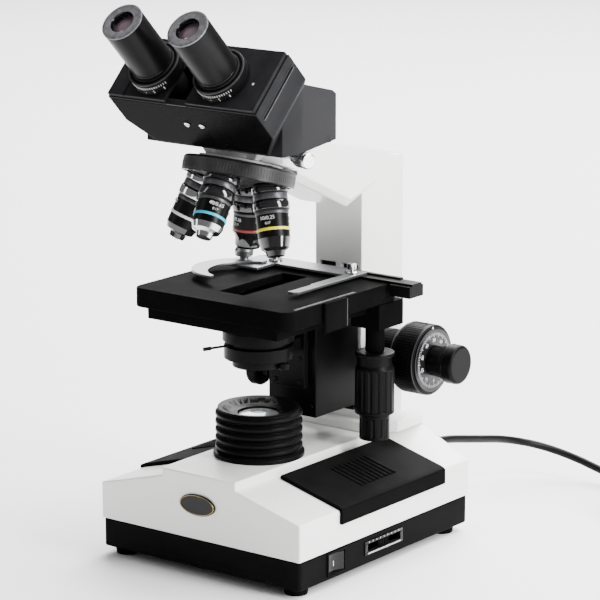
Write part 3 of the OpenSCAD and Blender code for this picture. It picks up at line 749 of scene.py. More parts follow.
class Workshop:
    """Makes finishes, dresses design solids and builds pieces."""

    def __init__(self) -> None:
        groups = SharedGroups()
        self.finishes = {key: finish.build(groups) for key, finish in FINISHES.items()}
        self.repeat = Repeater()
        self.smoother = self._smoother()

    @staticmethod
    def _smoother() -> bpy.types.NodeTree:
        """Make the tree that welds a solid's seams and smooths its shallow edges."""
        tree = bpy.data.node_groups.new("Weld and smooth", "GeometryNodeTree")
        side = tree.interface.new_socket
        side("Geometry", in_out="INPUT", socket_type="NodeSocketGeometry")
        side("Angle", in_out="INPUT", socket_type="NodeSocketFloat").default_value = 0.5
        side("Geometry", in_out="OUTPUT", socket_type="NodeSocketGeometry")
        given = tree.nodes.new("NodeGroupInput")
        out = tree.nodes.new("NodeGroupOutput")
        weld = add_node(tree, "GeometryNodeMergeByDistance", Distance=0.000002,
                        Geometry=given.outputs["Geometry"])
        plain = add_node(tree, "GeometryNodeRemoveAttribute", Name="custom_normal",
                         Geometry=weld.outputs["Geometry"])
        faces = add_node(tree, "GeometryNodeSetShadeSmooth", Geometry=plain.outputs["Geometry"])
        faces.domain = "FACE"
        angle = tree.nodes.new("GeometryNodeInputMeshEdgeAngle")
        compare = tree.nodes.new("FunctionNodeCompare")
        compare.data_type = "FLOAT"
        compare.operation = "LESS_THAN"
        tree.links.new(angle.outputs["Unsigned Angle"], compare.inputs["A"])
        tree.links.new(given.outputs["Angle"], compare.inputs["B"])
        edges = tree.nodes.new("GeometryNodeSetShadeSmooth")
        edges.domain = "EDGE"
        tree.links.new(faces.outputs["Geometry"], edges.inputs["Geometry"])
        tree.links.new(compare.outputs["Result"], edges.inputs["Shade Smooth"])
        tree.links.new(edges.outputs["Geometry"], out.inputs["Geometry"])
        return tree

    def dress(self, node: str, finish: str, edge: float = 0.0, angle: float = 32.0,
              steps: int = 3) -> bpy.types.Object:
        """Give a design solid its finish, and round its sharp edges.

        Args:
            node: Name of the design solid.
            finish: Key of the finish.
            edge: Width of the rounded edges, in millimetres.
            angle: Edges sharper than this stay sharp, or are rounded.
            steps: Steps in each rounded edge.

        Returns:
            The dressed object.
        """
        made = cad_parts[node]
        made.data.materials.clear()
        made.data.materials.append(self.finishes[finish])
        weld = made.modifiers.new("Weld and smooth", "NODES")
        weld.node_group = self.smoother
        for item in self.smoother.interface.items_tree:
            if item.item_type == "SOCKET" and item.name == "Angle":
                weld[item.identifier] = math.radians(angle)
        if edge:
            flat = made.modifiers.new("Join flat faces", "DECIMATE")
            flat.decimate_type = "DISSOLVE"
            flat.angle_limit = math.radians(0.4)
            bevel = made.modifiers.new("Rounded edges", "BEVEL")
            bevel.width = edge * MM
            bevel.segments = steps
            bevel.limit_method = "ANGLE"
            bevel.angle_limit = math.radians(angle)
            bevel.harden_normals = False
            bevel.use_clamp_overlap = False
            even = made.modifiers.new("Even shading", "WEIGHTED_NORMAL")
            even.keep_sharp = False
        LOG.info("dressed %s in %s", node, FINISHES[finish].name)
        return made

    def dress_all(self, looks: dict[str, tuple]) -> None:
        """Dress several design solids, each named with the values that dress() takes next."""
        for node, look in looks.items():
            self.dress(node, *look)

    def piece(self, name: str, body: str, shapes: Sequence[Shape],
              angle: float = 35.0, place: Matrix = Matrix.Identity(4)) -> bpy.types.Object:
        """Join shapes into one piece that rides on a body.

        Args:
            name: Name of the piece.
            body: Body that carries it.
            shapes: Its shapes, in millimetres.
            angle: Edges sharper than this stay sharp.
            place: Frame in which the shapes are given.

        Returns:
            The piece.
        """
        mesh = bpy.data.meshes.new(name)
        points: list[tuple[float, ...]] = []
        faces: list[list[int]] = []
        kinds: list[int] = []
        keys = list(dict.fromkeys(shape.finish for shape in shapes))
        for shape in (given.at(place) for given in shapes):
            start = len(points)
            points += [tuple(p * MM) for p in shape.points]
            faces += [[start + i for i in face] for face in shape.faces]
            kinds += [keys.index(shape.finish)] * len(shape.faces)
        mesh.from_pydata(points, [], faces)
        for key in keys:
            mesh.materials.append(self.finishes[key])
        mesh.polygons.foreach_set("material_index", kinds)
        mesh.shade_smooth()
        mesh.set_sharp_from_angle(angle=math.radians(angle))
        mesh.update()
        made = bpy.data.objects.new(name.lower().replace(" ", "_"), mesh)
        bpy.context.scene.collection.objects.link(made)
        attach(made, body)
        LOG.info("built %s on %s, %d faces", name, body, len(faces))
        return made

    def screw(self, radius: float, height: float, finish: str = "chrome") -> list[Shape]:
        """Return a domed, slotted screw head that stands on Z = 0; the slot is a thin dark strip
        of painted shade.
        """
        head = lathe([(0, -0.2), (radius, -0.2), (radius, height * 0.55),
                      (radius * 0.86, height * 0.88), (radius * 0.55, height), (0, height)],
                     finish, 40)
        # The slot is a dark strip laid on the dome: painted shade, not a cut.
        screw_slot_shade = block((-radius * 0.82, -radius * 0.13, height - 0.15),
                       (radius * 0.82, radius * 0.13, height + 0.04), "dark", 0.03, 1)
        return [head, screw_slot_shade]


# Camera, light and floor -----------------------------------------------------


@dataclass(frozen=True)
class Studio:
    """The camera, the soft lights and the pale floor.

    Args:
        eye: Place of the camera.
        target: Point that the camera looks at.
        lens: Focal length, in millimetres.
        floor_size: Side of the square floor.
        world: Strength of the pale surroundings.
    """

    eye: Point = (1.2571, -1.6424, 0.6626)
    target: Point = (0.0238, -0.0164, 0.1886)
    lens: float = 176.2
    floor_size: float = 6.0
    world: float = 0.2

    def camera(self) -> None:
        """Set up the camera."""
        data = bpy.data.cameras.new("Studio camera")
        data.sensor_width = 36.0
        data.lens = self.lens
        data.clip_end = 50.0
        made = bpy.data.objects.new("Studio camera", data)
        made.location = self.eye
        made.rotation_euler = self._aim(self.eye, self.target)
        bpy.context.scene.collection.objects.link(made)
        bpy.context.scene.camera = made

    @staticmethod
    def _aim(source: Point, target: Point) -> tuple[float, float, float]:
        """Return the angles that point an object's -Z from one place to another."""
        way = Vector(target) - Vector(source)
        return tuple(way.to_track_quat("-Z", "Y").to_euler())

    def lights(self) -> None:
        """Hang two side boxes, a top light and a rear light in a pale room."""
        world = bpy.data.worlds.new("Pale room")
        world.use_nodes = True
        sky = world.node_tree.nodes["Background"]
        sky.inputs["Color"].default_value = (1.0, 1.0, 1.0, 1.0)
        sky.inputs["Strength"].default_value = self.world
        bpy.context.scene.world = world
        boxes = [
            ("Left soft box", (-1.1, -1.0, 0.9), (0.3, 1.3), 5.0),
            ("Right soft box", (1.8, 0.1, 0.9), (0.5, 1.4), 80.0),
            ("Top soft box", (0.5, 1.4, 2.7), (3.4, 2.6), 380.0),
            ("Rear lift", (-1.6, 2.6, 2.2), (2.5, 2.0), 200.0),
        ]
        for name, place, size, power in boxes:
            data = bpy.data.lights.new(name, "AREA")
            data.shape = "RECTANGLE"
            data.size, data.size_y = size
            data.energy = power
            made = bpy.data.objects.new(name, data)
            made.location = place
            made.rotation_euler = self._aim(place, (0.0, 0.0, 0.22))
            bpy.context.scene.collection.objects.link(made)

    def floor(self, shop: "Workshop") -> None:
        """Lay the pale floor that the microscope stands on."""
        mesh = bpy.data.meshes.new("Floor")
        half = self.floor_size / 2
        corners = [(-half, -half, 0), (half, -half, 0), (half, half, 0), (-half, half, 0)]
        mesh.from_pydata(corners, [], [[0, 1, 2, 3]])
        mesh.materials.append(shop.finishes["floor"])
        made = bpy.data.objects.new("floor", mesh)
        bpy.context.scene.collection.objects.link(made)


# Mains lead ------------------------------------------------------------------


@dataclass(frozen=True)
class MainsLead:
    """The lead from the rear gland, put away in a coil, with its plug.

    Args:
        diameter: Diameter of the lead.
        length: Real length of the lead. Not used.
        run: Route from the gland to the coil.
        tail: Route from the coil to the plug.
        coil_at: Middle of the coil.
        inner: Smallest radius of the middle of a turn.
        outer: Largest radius of the middle of a turn.
        layers: Layers of turns.
        turns: Turns in all.
    """

    diameter: float = 0.006
    length: float = 1.8
    coil_at: tuple[float, float] = (0.201, 0.217)
    inner: float = 0.027
    outer: float = 0.038
    layers: int = 4
    turns: float = 7.25
    run: tuple[Point, ...] = (
        (0.050, 0.122, 0.0576), (0.050, 0.134, 0.056), (0.050, 0.146, 0.0536),
        (0.050, 0.158, 0.0509), (0.050, 0.170, 0.0482), (0.050, 0.182, 0.0455),
        (0.050, 0.194, 0.0428), (0.0502, 0.206, 0.040), (0.0515, 0.2175, 0.037),
        (0.0548, 0.2285, 0.0338), (0.0605, 0.2385, 0.0304), (0.0685, 0.247, 0.0267),
        (0.0785, 0.2536, 0.0227), (0.090, 0.2582, 0.0185), (0.1022, 0.2608, 0.0143),
        (0.1148, 0.2618, 0.0106), (0.1274, 0.2614, 0.0074), (0.140, 0.2602, 0.005),
        (0.1524, 0.2586, 0.0035), (0.1646, 0.257, 0.003), (0.1768, 0.2558, 0.003),
        (0.189, 0.2552, 0.003))
    tail: tuple[Point, ...] = (
        (0.239, 0.207, 0.0205), (0.239, 0.197, 0.0182), (0.239, 0.187, 0.0142),
        (0.239, 0.177, 0.0100), (0.239, 0.170, 0.008))

    def coil(self) -> list[Point]:
        """Return the points of the coil, wound clockwise from its far side."""
        steps = int(self.turns * 36)
        points = []
        for k in range(steps + 1):
            share = k / steps
            angle = math.radians(90 - 360 * self.turns * share)
            level = share * self.layers
            layer = min(int(level), self.layers - 1)
            across_layer = level - layer
            inward = across_layer if layer % 2 == 0 else 1 - across_layer
            radius = self.outer + (self.inner - self.outer) * inward
            rise = 0.0
            if layer and across_layer < 0.12:
                rise = self.diameter * (1 - math.cos(math.pi * (across_layer / 0.12))) / 2
            elif layer:
                rise = self.diameter
            height = self.diameter / 2 + max(layer - 1, 0) * self.diameter + rise
            points.append((self.coil_at[0] + radius * math.cos(angle),
                           self.coil_at[1] + radius * math.sin(angle), height))
        return points

    @staticmethod
    def eased(points: Sequence[Point], steps: int) -> list[Point]:
        """Return a smooth line through points, with a number of steps between each two."""
        line = [Vector(p) for p in points]
        smooth: list[Point] = []
        for k in range(len(line) - 1):
            before = line[max(k - 1, 0)]
            after = line[min(k + 2, len(line) - 1)]
            here, there = line[k], line[k + 1]
            for s in range(steps):
                t = s / steps
                a = (there - before) * 0.5
                b = (after - here) * 0.5
                point = (here * (2 * t ** 3 - 3 * t ** 2 + 1) + a * (t ** 3 - 2 * t ** 2 + t)
                         + there * (3 * t ** 2 - 2 * t ** 3) + b * (t ** 3 - t ** 2))
                smooth.append(tuple(point))
        smooth.append(tuple(line[-1]))
        return smooth

    def build(self, shop: Workshop) -> None:
        """Make the lead as one open spline, hide the design's cord solids, dress the plug and log
        the lead.
        """
        coil = self.coil()
        points = self.eased([*self.run, coil[0]], 4) + coil[1:-1]
        points += self.eased([coil[-1], *self.tail], 4)
        curve = bpy.data.curves.new("Mains lead", "CURVE")
        curve.dimensions = "3D"
        curve.bevel_depth = self.diameter / 2
        curve.bevel_resolution = 5
        curve.use_fill_caps = True
        spline = curve.splines.new("POLY")
        spline.points.add(len(points) - 1)
        for knot, point in zip(spline.points, points):
            knot.co = (*point, 1.0)
        spline.use_smooth = True
        curve.materials.append(shop.finishes["vinyl"])
        made = bpy.data.objects.new("mains_lead", curve)
        bpy.context.scene.collection.objects.link(made)
        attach(made, "stand")
        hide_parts("cord_run", "cord_coil", "cord_tail")
        plug = shop.dress("mains_plug", "tray", 1.2)
        LOG.info("laid the mains lead, %d points", len(points))


# The stand -------------------------------------------------------------------


@dataclass(frozen=True)
class Base:
    """The tray, cover, pads and controls that the stand rests on.

    Args:
        ribs: Number of ribs on each pad.
        rib_step: Distance from one rib to the next.
        rib_run: First and last x of a rib.
        slope: Fall of the shoulder for each millimetre outwards.
        shoulder: Height of the shoulder's inner edge.
        deck_half: Half the width of the flat deck.
    """

    ribs: int = 9
    rib_step: float = 5.0
    rib_run: tuple[float, float] = (50.0, 78.0)
    slope: float = 15.0 / 56.5
    shoulder: float = 69.0
    deck_half: float = 33.5

    def pad_top(self, x: float) -> float:
        """Return the height of a pad's face at x."""
        return self.shoulder - self.slope * (x - self.deck_half) + 3.0

    def dress(self, shop: Workshop) -> None:
        """Finish the design solids of the base."""
        shop.dress_all({
            "base_tray": ("tray", 1.2), "feet": ("rubber", 0.6),
            "base_cover": ("paint", 1.3, 25, 4), "pad_left": ("rubber", 0.9, 25),
            "pad_right": ("rubber", 0.9, 25), "badge": ("gloss", 0.5),
            "power_switch": ("gloss", 0.5), "dimmer_slider": ("tray", 0.5),
            "lamp_house": ("satin", 0.4), "field_lens": ("frost",),
            "lamp_socket": ("ceramic", 0.3), "lamp_bulb": ("clear",),
            "transformer": ("winding", 0.8), "circuit_board": ("board", 0.2),
            "fuse_holder": ("tray", 0.3), "strain_relief": ("vinyl", 0.3),
        })

    def pad_ribs(self, shop: Workshop, side: int) -> None:
        """Build the raised ribs of one pad, -1 on the left and 1 on the right."""
        start, end = self.rib_run
        low, high = self.pad_top(start), self.pad_top(end)
        pitch = math.degrees(math.atan2(low - high, end - start))
        bar = block((0, -1.5, -0.4), (math.hypot(end - start, low - high), 1.5, 0.9),
                    "rubber", 0.55, 3)
        row = shop.repeat.along(bar, self.ribs, (0.0, self.rib_step, 0.0))
        first = -self.rib_step * (self.ribs - 1) / 2 + 6.0
        frame_of_row = move(start, first, low) @ turn(pitch, "Y")
        placed = row.at(frame_of_row)
        if side < 0:
            placed = placed.at(MIRROR)
        name = "Pad ribs right" if side > 0 else "Pad ribs left"
        shop.piece(name, "stand", [placed])

    def details(self, shop: Workshop) -> None:
        """Build the badge's rim, the switch's bezel and mark, and the slider's slot."""
        steps = 72
        ring = []
        for k in range(steps + 1):
            angle = math.tau * k / steps
            ring.append((15.0 * math.cos(angle), 6.9 * math.sin(angle), 0.0))
        rim = rod(ring, 0.22, "gold", 8).at(move(0, -105.7, 53) @ turn(90, "X"))
        shop.piece("Badge rim", "stand", [rim])
        frame_of_side = move(89.2, -61, 17.25) @ turn(90, "Y") @ turn(90, "Z")
        bezel = self._frame_bar(21.5, 17.2, 18.6, 14.8, 1.1, "tray")
        mark = number("I", 4.0, "white").at(move(90.0, -65, 17.2) @ turn(90, "Z") @ turn(90, "X"))
        shop.piece("Switch bezel", "stand", bezel, place=frame_of_side)
        shop.piece("Switch mark", "rocker", [mark])
        slot_frame = move(89.2, -4, 18) @ turn(90, "Y") @ turn(90, "Z")
        edge = self._frame_bar(46.0, 10.5, 40.0, 6.0, 0.9, "gloss")
        strip = block((-20, -4.6, 0.6), (20, -3.5, 1.4), "steel", 0.2, 1)
        marks = shop.repeat.along(block((-0.2, 3.6, 0.8), (0.2, 4.7, 1.0), "white", 0.03, 1), 9,
                                  (4.5, 0.0, 0.0)).at(move(-18, 0, 0))
        shop.piece("Brightness slot", "stand", (*edge, strip, marks),
                   place=slot_frame)

    @staticmethod
    def _frame_bar(width: float, height: float, inner_w: float, inner_h: float, depth: float,
                   finish: str) -> list[Shape]:
        """Return four bars that frame an opening."""
        w, h, iw, ih = width / 2, height / 2, inner_w / 2, inner_h / 2
        spans = [((-w, -h), (w, -ih)), ((-w, ih), (w, h)), ((-w, -ih), (-iw, ih)),
                 ((iw, -ih), (w, ih))]
        return [block((a[0], a[1], 0.0), (b[0], b[1], depth), finish, 0.25, 2)
                for a, b in spans]

    def build(self, shop: Workshop) -> None:
        """Finish the base and add its fine pieces."""
        self.dress(shop)
        for side in (-1, 1):
            self.pad_ribs(shop, side)
        self.details(shop)


@dataclass(frozen=True)
class Arm:
    """The painted column and the nose that carries the head.

    Args:
        screw_at: Middle of the screw on the column's front face.
        screw_radius: Radius of its head.
        lower_screw: Height of the lower pair of screws.
        slot_z: Lower and upper edge of the two slots.
        slot_width: Width of a slot.
    """

    screw_at: Point = (12.5, 61.8, 190.0)
    screw_radius: float = 2.4
    lower_screw: float = 95.0
    slot_z: tuple[float, float] = (193.1, 198.9)
    slot_width: float = 13.8

    def build(self, shop: Workshop) -> None:
        """Finish the arm, set its front screws and fill its slots with dark blocks of painted
        shade.
        """
        shop.dress_all({
            "arm": ("paint", 1.2, 28, 4), "focus_guide": ("satin", 0.4),
            "nosepiece_mount": ("paint", 0.8),
        })
        screws = []
        for x in (-self.screw_at[0], self.screw_at[0]):
            for z in (self.screw_at[2], self.lower_screw):
                facing = move(x, self.screw_at[1], z) @ turn(90, "X") @ turn(35, "Z")
                screws += [s.at(facing) for s in shop.screw(self.screw_radius, 1.4)]
        bottom, top = self.slot_z
        # Dark blocks inside the two slots are painted shade.
        column_slot_shade = [block((x, 64.6, bottom), (x + self.slot_width, 65.9, top), "dark", 0.1, 1)
                 for x in (-16.9, 3.1)]
        shop.piece("Column screws", "stand", screws)
        shop.piece("Column slot shade", "stand", column_slot_shade)


@dataclass(frozen=True)
class FocusDrive:
    """The coaxial focus knobs and their collars.

    Args:
        y: Place of the shaft.
        z: Height of the shaft.
        coarse_radius: Radius of the coarse knob.
        flutes: Number of ribs round the coarse knob.
        divisions: Number of divisions on the dial.
    """

    y: float = 78.0
    z: float = 133.0
    coarse_radius: float = 26.0
    flutes: int = 72
    divisions: int = 100

    def knurls(self, shop: Workshop, low: float, high: float, radius: float, count: int,
               width: float, finish: str = "knob") -> Shape:
        """Return ribs along a knob's rim, in its own frame."""
        rib = block((-0.6, -width / 2, low), (0.25, width / 2, high), finish, 0.2, 1)
        return shop.repeat.around(rib, count, radius)

    def side(self, shop: Workshop, side: int) -> None:
        """Build the fine pieces of one side, -1 on the left and 1 on the right."""
        frame_of_side = across(self.y, self.z)
        if side < 0:
            frame_of_side = MIRROR @ frame_of_side
        name = "right" if side > 0 else "left"
        coarse = [self.knurls(shop, 56.5, 70.5, self.coarse_radius, self.flutes, 1.3),
                  sleeve(24.0, 26.2, 72.7, 73.3, "dial", 0.2),
                  sleeve(24.4, 26.3, 54.6, 56.0, "gloss", 0.4)]
        dot = lathe([(0, 0), (0.9, 0), (0.9, 0.25), (0.7, 0.35), (0, 0.35)], "white", 20)
        coarse.append(dot.at(move(-24.0, 0, 74.0)))
        shop.piece(f"Coarse knob trim {name}", "coarse", coarse,
                   place=frame_of_side)
        fine = sleeve(12.9, 14.65, 90.4, 91.2, "gloss", 0.2)
        shop.piece(f"Fine knob trim {name}", "fine", [fine.at(frame_of_side)])
        body = "tension" if side > 0 else "stand"
        collar = [self.knurls(shop, 36.5, 46.5, 18.0, 48, 1.3)]
        shop.piece(f"Collar ribs {name}", body, collar, place=frame_of_side)

    def dial(self, shop: Workshop) -> None:
        """Build the dial's divisions and figures."""
        frame_of_dial = across(self.y, self.z) @ move(0, 0, 75.3)
        short = block((18.6, -0.09, -0.05), (20.6, 0.09, 0.1), "white", 0.02, 1)
        long = block((17.4, -0.14, -0.05), (20.6, 0.14, 0.11), "white", 0.02, 1)
        marks = [shop.repeat.around(short, self.divisions, 0.0),
                 shop.repeat.around(long, self.divisions // 5, 0.0)]
        for k in range(10):
            facing = turn(-36 * k, "Z") @ move(15.2, 0, 0.0) @ turn(-90, "Z")
            marks.append(number(str(10 * k), 2.6, "white", 0.2).at(facing))
        shop.piece("Dial figures", "fine", [m.at(frame_of_dial) for m in marks])

    def build(self, shop: Workshop) -> None:
        """Finish the knobs and add their ribs and figures."""
        shop.dress_all({
            "tension_collar": ("knob", 0.6), "fixed_collar": ("knob", 0.6),
            "coarse_knobs": ("knob", 0.5), "fine_knobs": ("knob", 0.8),
            "focus_dial": ("dial", 0.15),
        })
        for side in (-1, 1):
            self.side(shop, side)
        self.dial(shop)


# Stage and substage ----------------------------------------------------------


@dataclass(frozen=True)
class Stage:
    """The mechanical stage with its slide holder and drive knobs.

    Args:
        top: Height of the stage's face.
        knob_at: Axis of the two coaxial drive knobs.
        scale_x: Inner edge of the scale on the stage's right side.
        scale_y: First and last y of the scale.
    """

    top: float = 199.0
    knob_at: tuple[float, float] = (55.0, 32.0)
    scale_x: float = 67.2
    scale_y: tuple[float, float] = (-80.0, -9.0)

    def scale(self, shop: Workshop) -> None:
        """Build the stage's scale and the vernier block beside it, with a painted highlight strip
        down its rear edge.
        """
        start, end = self.scale_y
        strip = block((self.scale_x, start, self.top - 0.25),
                      (self.scale_x + 1.0, end, self.top + 0.12), "dial", 0.08, 1)
        tick = block((self.scale_x - 1.6, -0.12, -0.2), (self.scale_x + 0.2, 0.12, 0.1), "white",
                     0.02, 1)
        count = int(end - start) // 2
        ticks = shop.repeat.along(tick, count, (0.0, 2.0, 0.0)).at(
            move(0, start + 1.5, self.top + 0.05))
        shop.piece("Stage scale", "y_plate", [strip, ticks])
        body = block((70.0, -52.0, 178.0), (73.4, -26.0, 199.4), "stage", 0.8, 3)
        # The thin lighter strip down the block's rear vertical edge is a painted highlight.
        face = block((72.9, -27.2, 179.0), (73.5, -26.2, 198.6), "rim", 0.1, 1)
        shop.piece("Vernier block", "y_plate", [body, face])

    def holder(self, shop: Workshop) -> None:
        """Build the slide holder's washers and the rail's scale."""
        ring = lathe([(2.0, 0), (5.2, 0), (5.2, 1.2), (4.6, 1.9), (2.0, 1.9)], "chrome", 48)
        pieces = []
        for x in (-30.0, 39.0):
            pieces.append(ring.at(move(x, 25, 202.9)))
        shop.piece("Holder washers", "x_carriage", pieces)
        tick = block((0, -1.0, 0), (0.25, 1.0, 0.16), "dark", 0.02, 1)
        ticks = shop.repeat.along(tick, 44, (1.5, 0.0, 0.0)).at(move(-34, 37, 202.42))
        strip = block((-36, 35.4, 202.2), (34, 38.6, 202.52), "steel", 0.08, 1)
        shop.piece("Rail scale", "y_plate", [strip, ticks])

    def knobs(self, shop: Workshop) -> None:
        """Build the caps and bands of the two drive knobs."""
        place = move(*self.knob_at, 0.0)
        upper = [sleeve(11.0, 14.45, 143.0, 146.1, "knob", 0.6),
                 sleeve(11.0, 14.45, 100.5, 103.0, "knob", 0.6)]
        lower = [sleeve(8.0, 11.15, 97.2, 99.9, "knob", 0.5),
                 sleeve(8.0, 11.15, 81.1, 83.4, "knob", 0.5)]
        shop.piece("Upper drive knob bands", "y_knob", upper, place=place)
        shop.piece("Lower drive knob bands", "x_knob", lower, place=place)

    def build(self, shop: Workshop) -> None:
        """Finish the stage and add its scales and trims."""
        shop.dress_all({
            "focus_slide": ("satin", 0.6), "stage_lower": ("stage", 0.6),
            "stage_upper": ("stage", 0.9), "stage_knob_y": ("knob", 0.4),
            "stage_knob_x": ("knob", 0.4), "x_rail": ("satin", 0.4),
            "slide_holder": ("holder", 0.3), "holder_screws": ("chrome", 0.3),
            "slide_finger": ("holder", 0.3),
        })
        self.scale(shop)
        self.holder(shop)
        self.knobs(shop)


@dataclass(frozen=True)
class Substage:
    """The condenser with its iris, filter and rack knob.

    Args:
        knob_y: Place of the rack knob's shaft.
        knob_z: Height of the rack knob's shaft.
    """

    knob_y: float = 14.0
    knob_z: float = 122.0

    def build(self, shop: Workshop) -> None:
        """Finish the condenser and add its screws and the knob's cap."""
        shop.dress_all({
            "condenser_carrier": ("satin", 0.4), "condenser": ("satin", 0.4),
            "condenser_lens": ("frost",), "iris_lever": ("satin", 0.15),
            "filter_tray": ("satin", 0.25), "condenser_knob": ("knob", 0.5),
        })
        frame_of_knob = MIRROR @ across(self.knob_y, self.knob_z)
        cap = lathe([(0, 41.5), (3.4, 41.5), (3.4, 42.3), (2.9, 42.8), (0, 42.8)], "chrome", 40)
        rib = block((-0.5, -0.6, 33.5), (0.4, 0.6, 40.5), "knob", 0.18, 1)
        ribs = shop.repeat.around(rib, 36, 10.8)
        shop.piece("Rack knob trim", "substage_knob", (cap, ribs),
                   place=frame_of_knob)
        screws = []
        for x in (-11.0, 11.0):
            for z in (122.0, 140.0):
                facing = move(x, -0.0, z) @ turn(90, "X") @ turn(50, "Z")
                screws += [s.at(facing) for s in shop.screw(1.7, 1.0, "satin")]
        shop.piece("Carrier screws", "substage", screws)
        screws = []
        for z in (104.0, 162.0):
            for x in (-17.5, 17.5):
                facing = move(x, 5.6, z) @ turn(90, "X") @ turn(20, "Z")
                screws += [s.at(facing) for s in shop.screw(1.5, 1.0, "satin")]
        shop.piece("Focus block screws", "lift", screws)


# Nosepiece and objectives ----------------------------------------------------


@dataclass(frozen=True)
class Objective:
    """The coloured, glossy and chromed bands of one objective.

    Args:
        name: Name of the piece.
        place: Seat on the nosepiece.
        ring: Finish of the coloured ring.
        band: Finish of the two wide bands.
        body: Finish of the barrel.
        neck: Finish of the narrow end.
        tip: (radius, distance below the seat) outline of the barrel's end.
        figures: Magnification on the barrel.
    """

    name: str
    place: int
    ring: str
    band: str
    body: str
    neck: str
    tip: tuple[tuple[float, float], ...]
    figures: str

    def build(self, shop: Workshop) -> None:
        """Build the bands round the design's solid."""
        shop.dress(self.name, self.body, 0.15)
        bands = [
            sleeve(11.4, 12.85, 2.9, 8.3, self.band, 0.7),
            sleeve(11.4, 12.15, 9.3, 13.2, "grey_band", 0.2),
            sleeve(11.4, 12.85, 14.3, 20.3, self.band, 0.7),
            sleeve(11.2, 11.85, 21.6, 23.6, "grey_band", 0.2),
            sleeve(10.6, 11.78, 33.2, 35.2, self.ring, 0.15),
        ]
        end = self.tip[-1][1]
        start_r, start_z = self.tip[0]
        nose = [(self.tip[0][0] - 1.2, start_z)]
        nose += [(radius + 0.16, depth) for radius, depth in self.tip]
        nose += [(2.6, end + 0.16), (2.0, end - 0.8), (0.0, end - 0.8), (0.0, start_z)]
        bands.append(lathe(nose, self.neck, 80))
        lens = lathe([(0, end - 0.95), (2.3, end - 0.95), (2.2, end - 0.3), (1.2, end - 0.1),
                      (0, end - 0.05)], "lens", 32)
        bands.append(lens)
        seat = objective_frame(self.place)
        shapes = [s.at(seat @ DOWN) for s in bands]
        for k, text in enumerate((self.figures, "0.17")):
            for step in range(3):
                facing = (seat @ turn(120 * step + 35, "Z") @ move(11.62, 0, -26.6 - 3.6 * k)
                          @ turn(90, "Y") @ turn(90, "Z"))
                size = 2.6 if k == 0 else 1.7
                shapes.append(number(text, size, "white", 0.12).at(facing))
        shop.piece(f"{self.name} bands", "nosepiece", shapes, 30)


@dataclass(frozen=True)
class Nosepiece:
    """The revolving nosepiece with four objectives.

    Args:
        rim_radius: Radius of the rim.
        ribs: Number of ribs round the rim.
    """

    rim_radius: float = 40.0
    ribs: int = 110

    def objectives(self) -> list[Objective]:
        """Return the four objectives, in order round the nosepiece."""
        return [
            Objective("objective_low", 1, "red", "black_gloss", "barrel", "black_gloss",
                      ((11.6, 36.0), (9.5, 40.0), (9.5, 46.0), (8.0, 47.9)), "4/0.10"),
            Objective("objective_mid", 0, "yellow", "black_gloss", "barrel", "black_gloss",
                      ((11.2, 40.0), (9.6, 47.0), (7.0, 49.0), (6.0, 52.6)), "10/0.25"),
            Objective("objective_high", 3, "cyan", "black_gloss", "barrel", "chrome",
                      ((11.2, 40.0), (9.6, 44.0), (6.0, 45.5), (5.2, 49.0)), "40/0.65"),
            Objective("objective_oil", 2, "white", "chrome", "barrel", "black_gloss",
                      ((11.2, 42.0), (9.6, 46.0), (6.0, 47.5), (5.2, 51.0)), "100/1.25"),
        ]

    def build(self, shop: Workshop) -> None:
        """Finish the nosepiece, its worn rim and its objectives."""
        shop.dress("turret", "nosepiece", 0.5)
        rib = block((-0.35, -0.45, 0.6), (0.12, 0.45, 6.6), "nosepiece", 0.1, 1)
        trims = [shop.repeat.around(rib, self.ribs, self.rim_radius).at(TURRET),
                 sleeve(38.4, 40.1, -1.5, -0.9, "gloss", 0.2).at(TURRET)]
        shop.piece("Nosepiece rim", "nosepiece", trims)
        for objective in self.objectives():
            objective.build(shop)


# Head and eyepieces ----------------------------------------------------------


@dataclass(frozen=True)
class Eyepiece:
    """One eyepiece with its tube and dioptre ring.

    Args:
        side: -1 for the left and 1 for the right.
    """

    side: int

    @property
    def name(self) -> str:
        """Return left or right."""
        return "right" if self.side > 0 else "left"

    def dioptre(self, shop: Workshop) -> None:
        """Build the ribs, dots and figures of the dioptre ring."""
        place = tube_frame(self.side)
        rib = block((-0.4, -0.55, 4.4), (0.3, 0.55, 8.2), "knob", 0.15, 1)
        shapes = [shop.repeat.around(rib, 60, 19.15),
                  sleeve(17.0, 19.3, 12.9, 13.9, "rim", 0.3)]
        tick = block((-0.1, -0.14, 9.2), (0.14, 0.14, 11.0), "white", 0.03, 1)
        shapes.append(shop.repeat.around(tick, 21, 19.2, -90.0 - 52.0, 110.0))
        for k, text in enumerate(("4", "2", "0", "2", "4")):
            facing = (turn(-90 - 44 + 22 * k, "Z") @ move(19.22, 0, 6.4) @ turn(90, "Y")
                      @ turn(90, "Z"))
            shapes.append(number(text, 2.4, "white", 0.16).at(facing))
        shop.piece(f"Dioptre scale {self.name}", f"{self.name}_diopter", shapes,
                   place=place)

    def build(self, shop: Workshop) -> None:
        """Finish the tube, eyepiece and lens, and add their rims."""
        place = tube_frame(self.side)
        shop.dress(f"tube_{self.name}", "texture", 0.5)
        shop.dress(f"diopter_{self.name}", "knob", 0.4)
        shop.dress(f"eyepiece_{self.name}", "barrel", 0.5)
        shop.dress(f"eye_lens_{self.name}", "lens")
        self.dioptre(shop)
        shapes = [
            sleeve(13.1, 15.2, 58.4, 59.8, "worn", 0.5),
            lathe([(8.6, 59.2), (13.3, 59.2), (13.3, 59.7), (8.9, 59.55)], "annulus"),
            lathe([(7.7, 56.6), (9.3, 56.6), (9.3, 59.5), (8.7, 59.5), (7.7, 57.4)], "gloss"),
            sleeve(14.6, 15.25, 15.3, 16.8, "gloss", 0.3),
        ]
        shop.piece(f"Eyepiece rim {self.name}", f"{self.name}_tube", shapes,
                   place=place)


